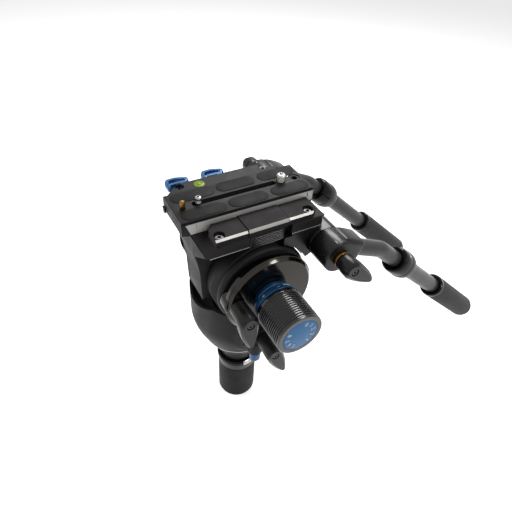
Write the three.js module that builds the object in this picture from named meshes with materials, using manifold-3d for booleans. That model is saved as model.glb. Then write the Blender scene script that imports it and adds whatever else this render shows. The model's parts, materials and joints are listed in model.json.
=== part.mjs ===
// Fluid video head with a 75 mm half-ball: tie-down, pan housing, tilt head, sliding plate and two pan bars.
// Millimetres, +Z up. The lens end points to -Y and the control side, the operator's left, to +X.
// The origin lies on the pan axis, level with the lower edge of the base flange.

import * as THREE from 'three';
import { mergeVertices } from 'three/addons/utils/BufferGeometryUtils.js';
import Module from 'manifold-3d';

const wasm = await Module();
wasm.setup();

// Clearances and facets
const fit = 0.3;
const overrun = 6;
const edgeBreak = 0.8;
const facetWidth = 7;
const leastSides = 16;
const mostSides = 32;

// Base that sits in the tripod bowl
const bowlRadius = 37.5;
const seatDepth = 30;
const flangeRadius = 43.2;
const flangeThickness = 2.5;

// Tie-down under the bowl
const washerRadius = 22;
const washerHeight = 15.4;
const collarRadius = 25.2;
const collarLipRadius = 26.6;
const collarLipHeight = 8;
const collarHeight = 17;
const gripRadius = 25;
const gripHeight = 65.7;
const gripEndRounding = 1.6;
const tieStudRadius = 6;
const tieStudLength = 92;
const tieStudSink = 22;
const tieBoreLength = 42;

// Pan axle inside the housing
const panAxleRadius = 9;
const panAxleFlangeRadius = 24;
const panAxleFlangeHeight = 2;
const panAxleThreadRadius = 7.5;
const panAxleHeight = 43;
const panCartridgeRadius = 29.7;
const panCartridgeHeight = 14.6;
const panNutRadius = 12.5;
const panNutHeight = 7.7;
const panBearingHeight = 14;

// Pan housing
const cupFootRadius = 43;
const cupRadius = 57;
const cupShoulderHeight = 42.2;
const cupBulgeHeight = 22.2;
const cupWall = 3.2;
const trenchHeight = 67;
const rimLowHeight = 72;
const rimRise = 10;
const rimPeakOffset = 32;
const rimSideDrop = 6;
const sideFlat = 48.5;
const chamferAzimuth = 23.6;
const chamferDistance = 55.6;

// Tilt axis and the two cheeks
const tiltAxisY = 3;
const tiltAxisZ = 117;
const drumHalfWidth = 19.6;
const cheekGap = 0.5;
const cheekRadius = 51.3;
const cheekPlanRadius = 56.8;
const cheekThickness = 22.9;
const cavityRadius = 62;
const tiltAxleRadius = 8;
const tiltAxleOverlap = 6;

// Covers on the cheeks
const coverThickness = 7.7;
const coverRadius = 50.5;
const coverFaceRadius = 45;
const coverBevel = 4;
const coverSpigotLength = 2.3;
const tiltCartridgeRadius = 26.7;
const tiltCartridgeLength = 16.4;
const sideCoverRadius = 49;
const sideCoverNeckRadius = 40;
const sideCoverNeckLength = 6;
const sideCoverRimWidth = 5.2;
const sideCoverGroove = 0.8;
const sideCoverFaceRadius = 45.4;
const sideCoverLength = 14.7;
const earRadius = 12.5;
const earLength = 12.4;
const farCapRadius = 50;
const farCapRimWidth = 3;
const farCapCrownRadius = 46;
const farCapLength = 11;

// Counterbalance spring in the far cheek
const springRadius = 16;
const springWireRadius = 1.9;
const springTurns = 3;
const springPitch = 4.3;

// Drag ring and counterbalance knob on the tilt axis
const spigotRadius = 13;
const spigotLength = 14.2;
const dragRingRootRadius = 20.8;
const dragRingRadius = 24.5;
const knobShaftRadius = 6;
const knobShaftSink = 14;
const knobShaftReach = 30;
const knobRadius = 24.8;
const knobPlainLength = 5;
const knobLength = 41.4;
const knobGrooves = 12;
const knobGroovePitch = 2.75;
const knobGrooveDepth = 1.1;
const knobGrooveCrestShare = 0.45;
const knobEndBreak = 1.2;
const knobCapRadius = 18.9;
const knobCapThickness = 1.5;

// Locking levers
const leverHubRootRadius = 7;
const leverHubRadius = 10;
const leverTipRadius = 5;
const leverArmThickness = 11;
const leverSkin = 3;
const leverStudRadius = 3.7;
const tiltLockY = -35.5;
const tiltLockZ = 120;
const tiltLockLength = 28.6;
const tiltLockReach = 32;
const tiltLockAngle = 4.5;
const panLockZ = 38.6;
const panLockBossRadius = 10;
const panLockBossEnd = 56;
const panLockLength = 30.5;
const panLockReach = 36.8;
const panLockAngle = 21.8;
const panLockStudDepth = 40;
const barLeverLength = 19.7;
const barLeverReach = 31.9;
const barLeverAngle = 48.8;

// Pan drag dial under the near edge of the housing
const dialOffset = 46.6;
const dialRadius = 6.9;
const dialHeight = 11;
const dialDrop = 1.2;
const dialStemRadius = 2.2;
const dialStemHeight = 9;
const dialBossRadius = 4.6;
const dialBossHeight = 12;

// Tilt housing: drum, nose and platform
const drumRadius = 55;
const skirtFront = 56.5;
const skirtDrop = 24;
const noseWaistFront = 57.4;
const noseWaistRise = 3;
const noseFlareFront = 63.4;
const noseFlareRise = 43;
const creaseFront = 63;
const platformHalfWidth = 51;
const platformThickness = 11.9;
const platformBottomRise = 61;
const platformRear = 67.5;
const platformFrontRun = 14;
const platformCorner = 3;
const noseFlareHeight = 19.5;
const noseFlareDepth = 15;
const drumRearReach = 40;

// Jaws on the platform
const jawThickness = 7.3;
const jawChamferWidth = 1.6;
const jawChamferHeight = 2.2;
const jawInset = 0.5;
const frontJawStart = -50;
const centreJawStart = -17;
const rearJawStart = 26;
const rearJawEnd = 60;
const rearJawSlant = 7;
const jawCornerRadius = 5;
const jawScrewRecessRadius = 4.3;
const jawScrewRecessDepth = 4;
const jawScrewInset = 12;
const frontJawScrewY = -42;
const rearJawScrewY = 51;
const farJawFront = -66;
const farJawRear = 61;
const farJawCornerRun = 18;

// Release button in the near wall of the platform
const buttonStart = -15.7;
const buttonEnd = 20.9;
const buttonProud = 1.6;
const buttonThickness = 5.3;
const buttonHeight = 13.3;
const buttonRibs = 5;
const buttonRibDepth = 1;
const notchEnd = 30;
const notchDepth = 7;

// Blue loop levers under the far jaw
const loopLeverThickness = 3.6;
const loopRootRadius = 4.5;
const loopPinRadius = 1.8;
const loopWidth = 13;
const loopLength = 26;
const loopWall = 3.8;
const loopCentreRun = 10;
const loopCentreSide = 9.5;
const loopPivotInset = 6;
const loopPivotRise = 1.5;
const frontLoopPivotY = -38.5;
const rearLoopPivotY = 2.5;
const loopPocketStart = 22;
const loopPocketEnd = 9;

// Bubble level in the far jaw
const levelRadius = 5.5;
const levelHeight = 4.6;
const levelInset = 14;
const levelY = -29;
const levelDepth = 3.9;

// Cross bar and pan bar clamps
const barAxisY = 67;
const barAxisZ = 161;
const crossBarRadius = 18.2;
const crossBarOverhang = 7;
const crossBarWebOverhang = 1;
const crossBarWebClearance = 1.7;
const crossBarWebEndAngle = 29;
const eyeLength = 27.4;
const eyeBreak = 1.2;
const barStudRadius = 4;
const barStudSink = 12;
const clampCollarRadius = 9;
const clampCollarLength = 3.7;
const socketRadius = 13.5;
const socketLength = 39;
const socketRise = 6.5;
const socketBoreStart = 14;
const socketSlitWidth = 1.6;
const socketSlitLength = 16;

// Pan bars
const firstLegAngle = 25.5;
const secondLegAngle = 42.5;
const firstLegLength = 72.8;
const bendRadius = 32;
const bendSteps = 4;
const innerTubeRadius = 8.7;
const innerTubeLength = 150;
const outerTubeRadius = 10.2;
const outerTubeEnd = 300;
const barCollarStart = 37.4;
const barCollarLength = 43.8;
const barCollarRadius = 16.8;
const barCollarRingRadius = 13;
const barCollarRingLength = 5;
const barCollarNeckRadius = 12.2;
const barCollarStepDepth = 13;
const barCollarEndRadius = 14.2;
const barCollarFlareShare = 0.55;
const barGripStart = 158.7;
const barGripLength = 150.3;
const barGripRadius = 15.8;
const barGripRingLength = 3;
const barGripRounding = 5;
const farBarRetraction = 19;

// Camera plate
const plateLength = 142;
const plateCentreY = -0.9;
const plateHeight = 14.8;
const plateTopHalfWidth = 23.5;
const plateShoulderHalfWidth = 25;
const plateFootHalfWidth = 26.5;
const plateShoulderDrop = 2.2;
const plateFootHeight = 2;
const plateGroove = 0.8;
const plateCorner = 5;
const padHeight = 0.4;
const padWidth = 15.8;
const padOffset = 14.4;
const padLengths = [45, 42, 42];
const padCentres = [-45.5, 1, 47];
const slotWidth = 6.8;
const slotStart = -48.5;
const slotEnd = 36;
const headSlotWidth = 16;
const headSlotDepth = 6;
const headSlotStart = -54.5;
const headSlotEnd = 54;
const screwHeadRadius = 7.2;
const screwHeadHeight = 4.2;
const screwProud = 9;
const quarterRadius = 3.05;
const quarterY = -45;
const threeEighthsRadius = 4.6;
const threeEighthsProud = 11.6;
const threeEighthsY = 45;
const threeEighthsX = 0.6;
const threadedHoleY = 61.6;
const threadedHoleRadius = 3.2;
const threadedHoleRecess = 5.8;
const threadedHoleRecessDepth = 0.8;
const pinX = 3;
const pinY = -62;
const pinRadius = 2.5;
const pinProud = 9;
const pinDepth = 5;
const stopWidth = 5;
const stopThickness = 1.8;
const stopHeight = 5.5;

// Heights and offsets that follow from the sizes above
const cupBottomZ = flangeThickness + fit;
const cupTopZ = cupBottomZ + rimLowHeight + rimRise + overrun;
const trenchZ = cupBottomZ + trenchHeight;
const rimLowZ = cupBottomZ + rimLowHeight;
const rimPeakZ = rimLowZ + rimRise;
const cheekInnerX = drumHalfWidth + cheekGap;
const cheekOuterX = cheekInnerX + cheekThickness;
const coverStartX = cheekOuterX + fit;
const coverEndX = coverStartX + coverThickness;
const cartridgeStartX = cheekOuterX - fit - coverSpigotLength - fit - tiltCartridgeLength;
const sideCoverStartX = coverEndX + fit;
const sideCoverEndX = sideCoverStartX + sideCoverLength;
const dragRingStartX = sideCoverEndX + fit;
const dragRingEndX = sideCoverEndX + spigotLength;
const knobStartX = dragRingEndX + fit;
const knobEndX = knobStartX + knobLength;
const platformBottomZ = tiltAxisZ + platformBottomRise;
const platformTopZ = platformBottomZ + platformThickness;
const noseTopHalfWidth = platformHalfWidth - platformCorner;
const nearJawOuter = platformHalfWidth - jawInset;
const farJawCornerX = nearJawOuter - farJawCornerRun;
const jawScrewX = nearJawOuter - jawScrewInset;
const loopPivotX = loopPivotInset - platformHalfWidth;
const levelX = levelInset - platformHalfWidth;
const jawBottomZ = platformTopZ + fit;
const jawTopZ = jawBottomZ + jawThickness;
const plateBottomZ = platformTopZ + fit;
const plateTopZ = plateBottomZ + plateHeight;
const plateFrontY = plateCentreY - plateLength / 2;
const cupAxleCavityRadius = panCartridgeRadius + fit;
const panCartridgeZ = cupBottomZ + panAxleFlangeHeight + fit;
const panLedgeZ = panCartridgeZ + panCartridgeHeight + fit;
const panNutZ = panLedgeZ + panBearingHeight + fit;
const crossBarWebFront = tiltAxisY + drumRearReach + fit;
const crossBarHalfLength = platformHalfWidth + crossBarOverhang;
const crossBarWebHalfWidth = platformHalfWidth + crossBarWebOverhang;
const eyeHalfLength = eyeLength / 2;
const eyeCentreX = crossBarHalfLength + fit + eyeHalfLength;

// Sides that a round of this radius needs for its facets to stay about one facet width wide
function sidesFor(radius) {
  const quarters = Math.ceil(2 * Math.PI * radius / facetWidth / 4);
  return Math.min(mostSides, Math.max(leastSides, quarters * 4));
}

// A closed mesh as a solid that can be joined and cut, with its faces turned outwards
function toSolid(geometry) {
  const bare = geometry.clone();
  bare.deleteAttribute('normal');
  bare.deleteAttribute('uv');
  const welded = mergeVertices(bare);
  const places = welded.attributes.position;
  const corners = [];
  const [a, b, c] = [new THREE.Vector3(), new THREE.Vector3(), new THREE.Vector3()];
  let volume = 0;
  for (let i = 0; i < welded.index.count; i += 3) {
    const triangle = [0, 1, 2].map((corner) => welded.index.getX(i + corner));
    if (new Set(triangle).size < 3) continue;
    [a, b, c].forEach((point, corner) => point.fromBufferAttribute(places, triangle[corner]));
    volume += a.dot(b.cross(c));
    corners.push(triangle);
  }
  const triVerts = Uint32Array.from(corners.flatMap((triangle) => (volume < 0 ? triangle.reverse() : triangle)));
  const vertProperties = Float32Array.from(places.array);
  return new wasm.Manifold(new wasm.Mesh({ numProp: 3, vertProperties, triVerts }));
}

function toGeometry(solid) {
  const mesh = solid.getMesh();
  const geometry = new THREE.BufferGeometry();
  geometry.setAttribute('position', new THREE.Float32BufferAttribute(mesh.vertProperties, 3));
  geometry.setIndex(Array.from(mesh.triVerts));
  geometry.computeVertexNormals();
  return geometry;
}

const join = (first, ...others) => (
  toGeometry(others.reduce((whole, other) => whole.add(toSolid(other)), toSolid(first)))
);
const cut = (body, ...tools) => (
  toGeometry(tools.reduce((rest, tool) => rest.subtract(toSolid(tool)), toSolid(body)))
);
const common = (body, other) => toGeometry(toSolid(body).intersect(toSolid(other)));
const mirrored = (geometry) => toGeometry(toSolid(geometry.clone().scale(-1, 1, 1)));

// Axes swapped in turn: what was made along Z then points along X
const alongX = new THREE.Matrix4().makeBasis(
  new THREE.Vector3(0, 1, 0),
  new THREE.Vector3(0, 0, 1),
  new THREE.Vector3(1, 0, 0),
);

// Profile of [radius, height] pairs turned about Z
function turned(profile, sides) {
  const points = profile.map(([radius, height]) => new THREE.Vector2(radius, height));
  const widest = Math.max(...profile.map(([radius]) => radius));
  return new THREE.LatheGeometry(points, sides ?? sidesFor(widest)).rotateX(Math.PI / 2);
}

const turnedRing = (profile, sides) => turned([...profile, profile[0]], sides);
const onTiltAxis = (geometry) => geometry.applyMatrix4(alongX).translate(0, tiltAxisY, tiltAxisZ);

function rod(radius, start, end, bevel = 0) {
  return turned([
    [0, start],
    [radius - bevel, start],
    ...(bevel ? [[radius, start + bevel], [radius, end - bevel]] : [[radius, end]]),
    ...(bevel ? [[radius - bevel, end]] : []),
    [0, end],
  ], sidesFor(radius));
}

const rodZ = (radius, start, end, x = 0, y = 0) => rod(radius, start, end).translate(x, y, 0);
const rodX = (radius, start, end, y, z, bevel = 0) => (
  rod(radius, start, end, bevel).applyMatrix4(alongX).translate(0, y, z)
);

function tube(outer, inner, start, end, bevel = 0) {
  return turnedRing([
    [inner, start],
    [outer - bevel, start],
    ...(bevel ? [[outer, start + bevel], [outer, end - bevel]] : []),
    [outer - bevel, end],
    [inner, end],
  ], sidesFor(outer));
}

function block(x0, x1, y0, y1, z0, z1) {
  return new THREE.BoxGeometry(x1 - x0, y1 - y0, z1 - z0)
    .translate((x0 + x1) / 2, (y0 + y1) / 2, (z0 + z1) / 2);
}

function outline(points) {
  return new THREE.Shape(points.map(([u, v]) => new THREE.Vector2(u, v)));
}

function raised(shape, start, end, bevel = 0) {
  return new THREE.ExtrudeGeometry(shape, {
    depth: end - start - 2 * bevel,
    bevelEnabled: bevel > 0,
    bevelSize: bevel,
    bevelOffset: -bevel,
    bevelThickness: bevel,
    bevelSegments: 1,
    curveSegments: 4,
  }).translate(0, 0, start + bevel);
}

// Outlines in Y and Z raised along X, and outlines in X and Z raised along Y
const raisedX = (points, start, end) => raised(outline(points), start, end).applyMatrix4(alongX);
const raisedY = (points, start, end) => (
  raised(outline(points), start, end).rotateX(Math.PI / 2).translate(0, start + end, 0)
);

// Round tube along a list of points, with a ring of corners square to the path at each
function pipe(path, radius, sides, sideways) {
  const places = [];
  const corners = [];
  path.forEach((point, i) => {
    const before = path[Math.max(i - 1, 0)];
    const after = path[Math.min(i + 1, path.length - 1)];
    const ahead = after.clone().sub(before).normalize();
    const across = sideways(point, ahead);
    const upwards = ahead.clone().cross(across);
    for (let side = 0; side < sides; side += 1) {
      const turn = 2 * Math.PI * side / sides;
      const corner = point.clone();
      corner.addScaledVector(across, radius * Math.cos(turn));
      corner.addScaledVector(upwards, radius * Math.sin(turn));
      places.push(...corner.toArray());
    }
  });
  const at = (ring, side) => ring * sides + side % sides;
  for (let ring = 0; ring < path.length - 1; ring += 1) {
    for (let side = 0; side < sides; side += 1) {
      corners.push(at(ring, side), at(ring, side + 1), at(ring + 1, side + 1));
      corners.push(at(ring, side), at(ring + 1, side + 1), at(ring + 1, side));
    }
  }
  const last = path.length - 1;
  for (let side = 1; side < sides - 1; side += 1) {
    corners.push(at(0, 0), at(0, side + 1), at(0, side));
    corners.push(at(last, 0), at(last, side), at(last, side + 1));
  }
  const geometry = new THREE.BufferGeometry();
  geometry.setAttribute('position', new THREE.Float32BufferAttribute(places, 3));
  geometry.setIndex(corners);
  return toGeometry(toSolid(geometry));
}

// Finishes
const finish = {
  paint: { color: 0x57565a, roughness: 0.55, metalness: 0.3 },
  black: { color: 0x2b2a2c, roughness: 0.5, metalness: 0.2 },
  gloss: { color: 0x2a292c, roughness: 0.15, metalness: 0.5 },
  rubber: { color: 0x4d4c4e, roughness: 0.85, metalness: 0 },
  steel: { color: 0xb9b9b7, roughness: 0.3, metalness: 1 },
  bare: { color: 0xcfccc6, roughness: 0.4, metalness: 0.9 },
  blue: { color: 0x3f7fb5, roughness: 0.35, metalness: 0.6 },
  paleBlue: { color: 0x7fa9d0, roughness: 0.4, metalness: 0.3 },
  brass: { color: 0xc08f3c, roughness: 0.35, metalness: 0.9 },
  level: { color: 0xcfd25a, roughness: 0.2, metalness: 0 },
  plastic: { color: 0x3a393b, roughness: 0.6, metalness: 0 },
};

const head = new THREE.Group();

function piece(name, geometry, look, parent = head) {
  const closed = toGeometry(toSolid(geometry));
  const mesh = new THREE.Mesh(closed, new THREE.MeshStandardMaterial(finish[look]));
  mesh.name = name;
  parent.add(mesh);
  return mesh;
}

// Base half-ball: a ball cut off below, a flange above, and a threaded hole for the tie-down stud
function baseHalfBall() {
  const lowest = Math.asin(seatDepth / bowlRadius);
  const arcSteps = 5;
  const ball = Array.from({ length: arcSteps + 1 }, (_, i) => {
    const angle = -lowest * (1 - i / arcSteps);
    return [bowlRadius * Math.cos(angle), bowlRadius * Math.sin(angle)];
  });
  const body = turned([
    [0, -seatDepth],
    ...ball,
    [flangeRadius, 0],
    [flangeRadius, flangeThickness],
    [0, flangeThickness],
  ]);
  return cut(body, rodZ(tieStudRadius + fit, -seatDepth - overrun, -seatDepth + tieStudSink));
}

function tieDown() {
  const washerTop = -seatDepth - fit;
  const collarTop = washerTop - washerHeight - fit;
  const collarBottom = collarTop - collarHeight;
  const gripTop = collarBottom - fit;
  const gripBottom = gripTop - gripHeight;
  const bore = tieStudRadius + fit;
  const studTop = -seatDepth + tieStudSink - fit;
  piece('tie_down_stud', rod(tieStudRadius, studTop - tieStudLength, studTop, edgeBreak), 'steel');
  piece('clamp_washer', tube(washerRadius, bore, washerTop - washerHeight, washerTop, edgeBreak), 'plastic');
  piece('tie_down_collar', turnedRing([
    [bore, collarBottom],
    [collarRadius, collarBottom],
    [collarRadius, collarTop - collarLipHeight],
    [collarLipRadius, collarTop - collarLipHeight + edgeBreak],
    [collarLipRadius, collarTop - edgeBreak],
    [collarLipRadius - edgeBreak, collarTop],
    [bore, collarTop],
  ]), 'bare');
  piece('tie_down_grip', turned([
    [0, gripBottom],
    [gripRadius - 2 * gripEndRounding, gripBottom],
    [gripRadius - gripEndRounding / 2, gripBottom + gripEndRounding / 2],
    [gripRadius, gripBottom + 2 * gripEndRounding],
    [gripRadius, gripTop],
    [bore, gripTop],
    [bore, gripTop - tieBoreLength],
    [0, gripTop - tieBoreLength],
  ]), 'rubber');
}

function panAxle() {
  const shoulder = panNutZ - fit;
  piece('pan_axle', turned([
    [0, cupBottomZ],
    [panAxleFlangeRadius, cupBottomZ],
    [panAxleFlangeRadius, cupBottomZ + panAxleFlangeHeight],
    [panAxleRadius, cupBottomZ + panAxleFlangeHeight],
    [panAxleRadius, shoulder],
    [panAxleThreadRadius, shoulder],
    [panAxleThreadRadius, cupBottomZ + panAxleHeight],
    [0, cupBottomZ + panAxleHeight],
  ]), 'steel');
  const cartridgeTop = panCartridgeZ + panCartridgeHeight;
  piece('pan_drag_cartridge', tube(panCartridgeRadius, panAxleRadius + fit, panCartridgeZ, cartridgeTop), 'black');
  const nut = turned([[0, panNutZ], [panNutRadius, panNutZ], [panNutRadius, panNutZ + panNutHeight],
    [0, panNutZ + panNutHeight]], 6);
  const thread = rodZ(panAxleThreadRadius + fit, panNutZ - overrun, panNutZ + panNutHeight + overrun);
  piece('pan_axle_nut', cut(nut, thread), 'steel');
}

// One round cheek on the +X side, rounded in plan
function cheek() {
  const disc = rodX(cheekRadius, cheekInnerX, cheekOuterX, tiltAxisY, tiltAxisZ, edgeBreak);
  const plan = rodZ(cheekPlanRadius, trenchZ - overrun, tiltAxisZ + cheekRadius + overrun);
  return common(disc, plan);
}

// Cup that turns on the base. Its rim dips at the front and the back, and its sides are flat.
function panHousing() {
  const foot = new THREE.Vector2(cupFootRadius, cupBottomZ);
  const bulge = new THREE.Vector2(cupRadius, cupBottomZ + cupBulgeHeight);
  const shoulder = new THREE.Vector2(cupRadius, cupBottomZ + cupShoulderHeight);
  const side = new THREE.QuadraticBezierCurve(foot, bulge, shoulder).getPoints(5).map(({ x, y }) => [x, y]);
  const cup = turned([[0, cupBottomZ], ...side, [cupRadius, cupTopZ], [0, cupTopZ]]);

  const farOut = cupRadius + overrun;
  const dipSteps = 10;
  const dip = Array.from({ length: dipSteps + 1 }, (_, i) => {
    const share = 2 * i / dipSteps - 1;
    return [rimPeakOffset * share, rimLowZ + rimRise * share ** 2];
  });
  const aboveRim = raisedY([
    [-farOut, rimPeakZ - rimSideDrop],
    ...dip,
    [farOut, rimPeakZ - rimSideDrop],
    [farOut, cupTopZ + overrun],
    [-farOut, cupTopZ + overrun],
  ], -farOut, farOut);
  const trench = rodZ(cupRadius - cupWall, trenchZ, cupTopZ + overrun);
  const boss = rodX(panLockBossRadius, cupFootRadius - overrun, panLockBossEnd, tiltAxisY, panLockZ, edgeBreak);
  const dialBoss = rodZ(dialBossRadius, cupBottomZ, cupBottomZ + dialBossHeight, dialOffset);
  const shell = cut(cup, aboveRim, trench, sideFlats(), cornerChamfers());
  const body = join(shell, cheek(), mirrored(cheek()), boss, dialBoss);

  const boreEnd = sideCoverEndX + overrun;
  const cavity = rodX(cavityRadius, -cheekInnerX, cheekInnerX, tiltAxisY, tiltAxisZ);
  const coverSeat = rodX(coverRadius + fit, cheekOuterX, boreEnd, tiltAxisY, tiltAxisZ);
  const seats = cut(coverSeat, rodX(panLockBossRadius, 0, boreEnd, tiltAxisY, panLockZ));
  const axleBore = rodX(tiltAxleRadius + fit, -boreEnd, boreEnd, tiltAxisY, tiltAxisZ);
  const cartridgeBore = rodX(tiltCartridgeRadius + fit, cartridgeStartX - fit, boreEnd, tiltAxisY, tiltAxisZ);
  const springRoom = springTurns * springPitch + 2 * springWireRadius + 2 * fit;
  const springStart = -cheekOuterX + coverSpigotLength + fit + springRoom;
  const springBore = rodX(springRadius + springWireRadius + fit, -boreEnd, springStart, tiltAxisY, tiltAxisZ);
  const lockBore = rodX(leverStudRadius + fit, 0, boreEnd, tiltLockY, tiltLockZ);
  const panLockBore = rodX(barStudRadius + fit, panNutRadius, boreEnd, tiltAxisY, panLockZ);
  const dialBore = rodZ(dialStemRadius + fit, -overrun, cupBottomZ + dialStemHeight, dialOffset);
  const axleCavity = turned([
    [0, -overrun],
    [cupAxleCavityRadius, -overrun],
    [cupAxleCavityRadius, panLedgeZ],
    [panAxleRadius + fit, panLedgeZ],
    [panAxleRadius + fit, panNutZ - fit],
    [panNutRadius + fit, panNutZ - fit],
    [panNutRadius + fit, trenchZ],
    [0, trenchZ],
  ]);
  return cut(
    body, cavity, seats, mirrored(coverSeat), axleBore, cartridgeBore, springBore, lockBore,
    panLockBore, dialBore, axleCavity,
  );
}

function sideFlats() {
  const farOut = cupRadius + overrun;
  const near = block(sideFlat, farOut, -farOut, farOut, cupBottomZ - overrun, cupTopZ + overrun);
  const far = block(-farOut, -sideFlat, -farOut, farOut, cupBottomZ - overrun, cupTopZ + overrun);
  return join(near, far);
}

// Planes that take off the corners between the flats and the round of the cup
function cornerChamfers() {
  const farOut = cupRadius + overrun;
  const azimuths = [chamferAzimuth, 180 - chamferAzimuth, 180 + chamferAzimuth, -chamferAzimuth];
  const planes = azimuths.map((azimuth) => (
    block(chamferDistance, farOut, -cupRadius / 2, cupRadius / 2, cupBottomZ - overrun, cupTopZ + overrun)
      .rotateZ(THREE.MathUtils.degToRad(azimuth))
  ));
  return join(...planes);
}

function tiltBearings() {
  const axleBore = tiltAxleRadius + fit;
  const axleEnd = cheekOuterX + tiltAxleOverlap;
  piece('tilt_axle', rodX(tiltAxleRadius, -axleEnd, axleEnd, tiltAxisY, tiltAxisZ, edgeBreak), 'steel');
  const cartridge = tube(tiltCartridgeRadius, axleBore, cartridgeStartX, cartridgeStartX + tiltCartridgeLength);
  piece('tilt_drag_cartridge', onTiltAxis(cartridge), 'black');

  const cover = (spigotRadiusHere) => turnedRing([
    [axleBore, cheekOuterX - coverSpigotLength],
    [spigotRadiusHere, cheekOuterX - coverSpigotLength],
    [spigotRadiusHere, coverStartX],
    [coverRadius, coverStartX],
    [coverRadius, coverEndX - coverBevel],
    [coverFaceRadius, coverEndX],
    [axleBore, coverEndX],
  ]);
  const lockBore = rodX(leverStudRadius + fit, cheekInnerX, sideCoverEndX + overrun, tiltLockY, tiltLockZ);
  const nearCover = cut(onTiltAxis(cover(tiltCartridgeRadius)), lockBore);
  piece('near_bearing_cover', nearCover, 'paint');
  piece('far_bearing_cover', mirrored(onTiltAxis(cover(springRadius))), 'paint');
  piece('far_side_cap', mirrored(onTiltAxis(turned([
    [0, sideCoverStartX],
    [sideCoverNeckRadius, sideCoverStartX],
    [sideCoverNeckRadius, sideCoverStartX + sideCoverNeckLength],
    [farCapRadius, sideCoverStartX + sideCoverNeckLength],
    [farCapRadius, sideCoverStartX + sideCoverNeckLength + farCapRimWidth],
    [farCapCrownRadius, sideCoverStartX + farCapLength],
    [0, sideCoverStartX + farCapLength],
  ]))), 'black');
  piece('counterbalance_spring', counterbalanceSpring(), 'steel');
  piece('near_side_cover', nearSideCover(lockBore), 'gloss');
}

// Torsion spring wound round the tilt axle inside the far cheek
function counterbalanceSpring() {
  const stepsPerTurn = 10;
  const start = -cheekOuterX + coverSpigotLength + springWireRadius + 2 * fit;
  const path = Array.from({ length: springTurns * stepsPerTurn + 1 }, (_, i) => {
    const turn = 2 * Math.PI * i / stepsPerTurn;
    return new THREE.Vector3(
      start + springPitch * i / stepsPerTurn,
      tiltAxisY + springRadius * Math.cos(turn),
      tiltAxisZ + springRadius * Math.sin(turn),
    );
  });
  const outwards = (point, ahead) => {
    const across = new THREE.Vector3(0, point.y - tiltAxisY, point.z - tiltAxisZ);
    across.addScaledVector(ahead, -across.dot(ahead));
    return across.normalize();
  };
  return pipe(path, springWireRadius, 5, outwards);
}

// Glossy disc with two bevelled bands, an ear for the tilt lock and the spigot of the drag ring
function nearSideCover(lockBore) {
  const bore = knobShaftRadius + fit;
  const rimStart = sideCoverStartX + sideCoverNeckLength;
  const rimEnd = rimStart + sideCoverRimWidth;
  const disc = onTiltAxis(turnedRing([
    [bore, sideCoverStartX],
    [sideCoverNeckRadius, sideCoverStartX],
    [sideCoverNeckRadius, rimStart],
    [sideCoverRadius - edgeBreak, rimStart],
    [sideCoverRadius, rimStart + edgeBreak],
    [sideCoverRadius, rimEnd],
    [sideCoverRadius - sideCoverGroove, rimEnd],
    [sideCoverRadius - sideCoverGroove, rimEnd + sideCoverGroove],
    [sideCoverFaceRadius, sideCoverEndX],
    [spigotRadius, sideCoverEndX],
    [spigotRadius, dragRingEndX - fit],
    [bore, dragRingEndX - fit],
  ]));
  const ear = rodX(earRadius, sideCoverStartX, sideCoverStartX + earLength, tiltLockY, tiltLockZ, edgeBreak);
  return cut(join(disc, ear), lockBore);
}

// Blue drag ring, grooved knob with its shaft and the numbered cap
function tiltControls() {
  piece('tilt_drag_ring', onTiltAxis(turnedRing([
    [spigotRadius + fit, dragRingStartX],
    [dragRingRootRadius, dragRingStartX],
    [dragRingRadius, dragRingEndX - edgeBreak],
    [dragRingRadius - edgeBreak, dragRingEndX],
    [spigotRadius + fit, dragRingEndX],
  ])), 'blue');
  const grooves = Array.from({ length: knobGrooves }, (_, i) => {
    const start = knobStartX + knobPlainLength + i * knobGroovePitch;
    const crest = knobGroovePitch * knobGrooveCrestShare;
    return [
      [knobRadius, start],
      [knobRadius - knobGrooveDepth, start + (knobGroovePitch - crest) / 2],
      [knobRadius, start + knobGroovePitch - crest],
    ];
  }).flat();
  const shaftBore = knobShaftRadius + fit;
  const shaftEnd = knobStartX + knobShaftReach;
  const recess = knobEndX - knobCapThickness;
  piece('counterbalance_knob', onTiltAxis(turned([
    [0, recess],
    [0, shaftEnd + fit],
    [shaftBore, shaftEnd + fit],
    [shaftBore, knobStartX],
    [knobRadius - edgeBreak, knobStartX],
    [knobRadius, knobStartX + edgeBreak],
    ...grooves,
    [knobRadius, knobEndX - knobEndBreak],
    [knobRadius - knobEndBreak, knobEndX],
    [knobCapRadius + fit, knobEndX],
    [knobCapRadius + fit, recess],
    [0, recess],
  ], 20)), 'black');
  const capStart = recess + fit;
  piece('knob_cap', rodX(knobCapRadius, capStart, capStart + knobCapThickness, tiltAxisY, tiltAxisZ), 'paleBlue');
  const shaftStart = sideCoverStartX + knobShaftSink;
  piece('knob_shaft', rodX(knobShaftRadius, shaftStart, shaftEnd, tiltAxisY, tiltAxisZ), 'steel');
}

// Teardrop lever: conical hub along +X and an arm that hangs down from its outer end
function lever(hubLength, reach) {
  const armStart = hubLength - leverArmThickness;
  const hub = turned([
    [0, 0],
    [leverHubRootRadius, 0],
    [leverHubRadius, armStart + edgeBreak],
    [0, armStart + edgeBreak],
  ]).applyMatrix4(alongX);
  const slope = Math.asin((leverHubRadius - leverTipRadius) / reach);
  const shape = new THREE.Shape();
  shape.absarc(0, 0, leverHubRadius, -slope, Math.PI + slope, false);
  shape.absarc(0, -reach, leverTipRadius, Math.PI + slope, 2 * Math.PI - slope, false);
  const arm = raised(shape, armStart, hubLength, edgeBreak).applyMatrix4(alongX);
  const bore = rodX(leverStudRadius + fit, -overrun, hubLength - leverSkin, 0, 0);
  return cut(join(hub, arm), bore);
}

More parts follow.
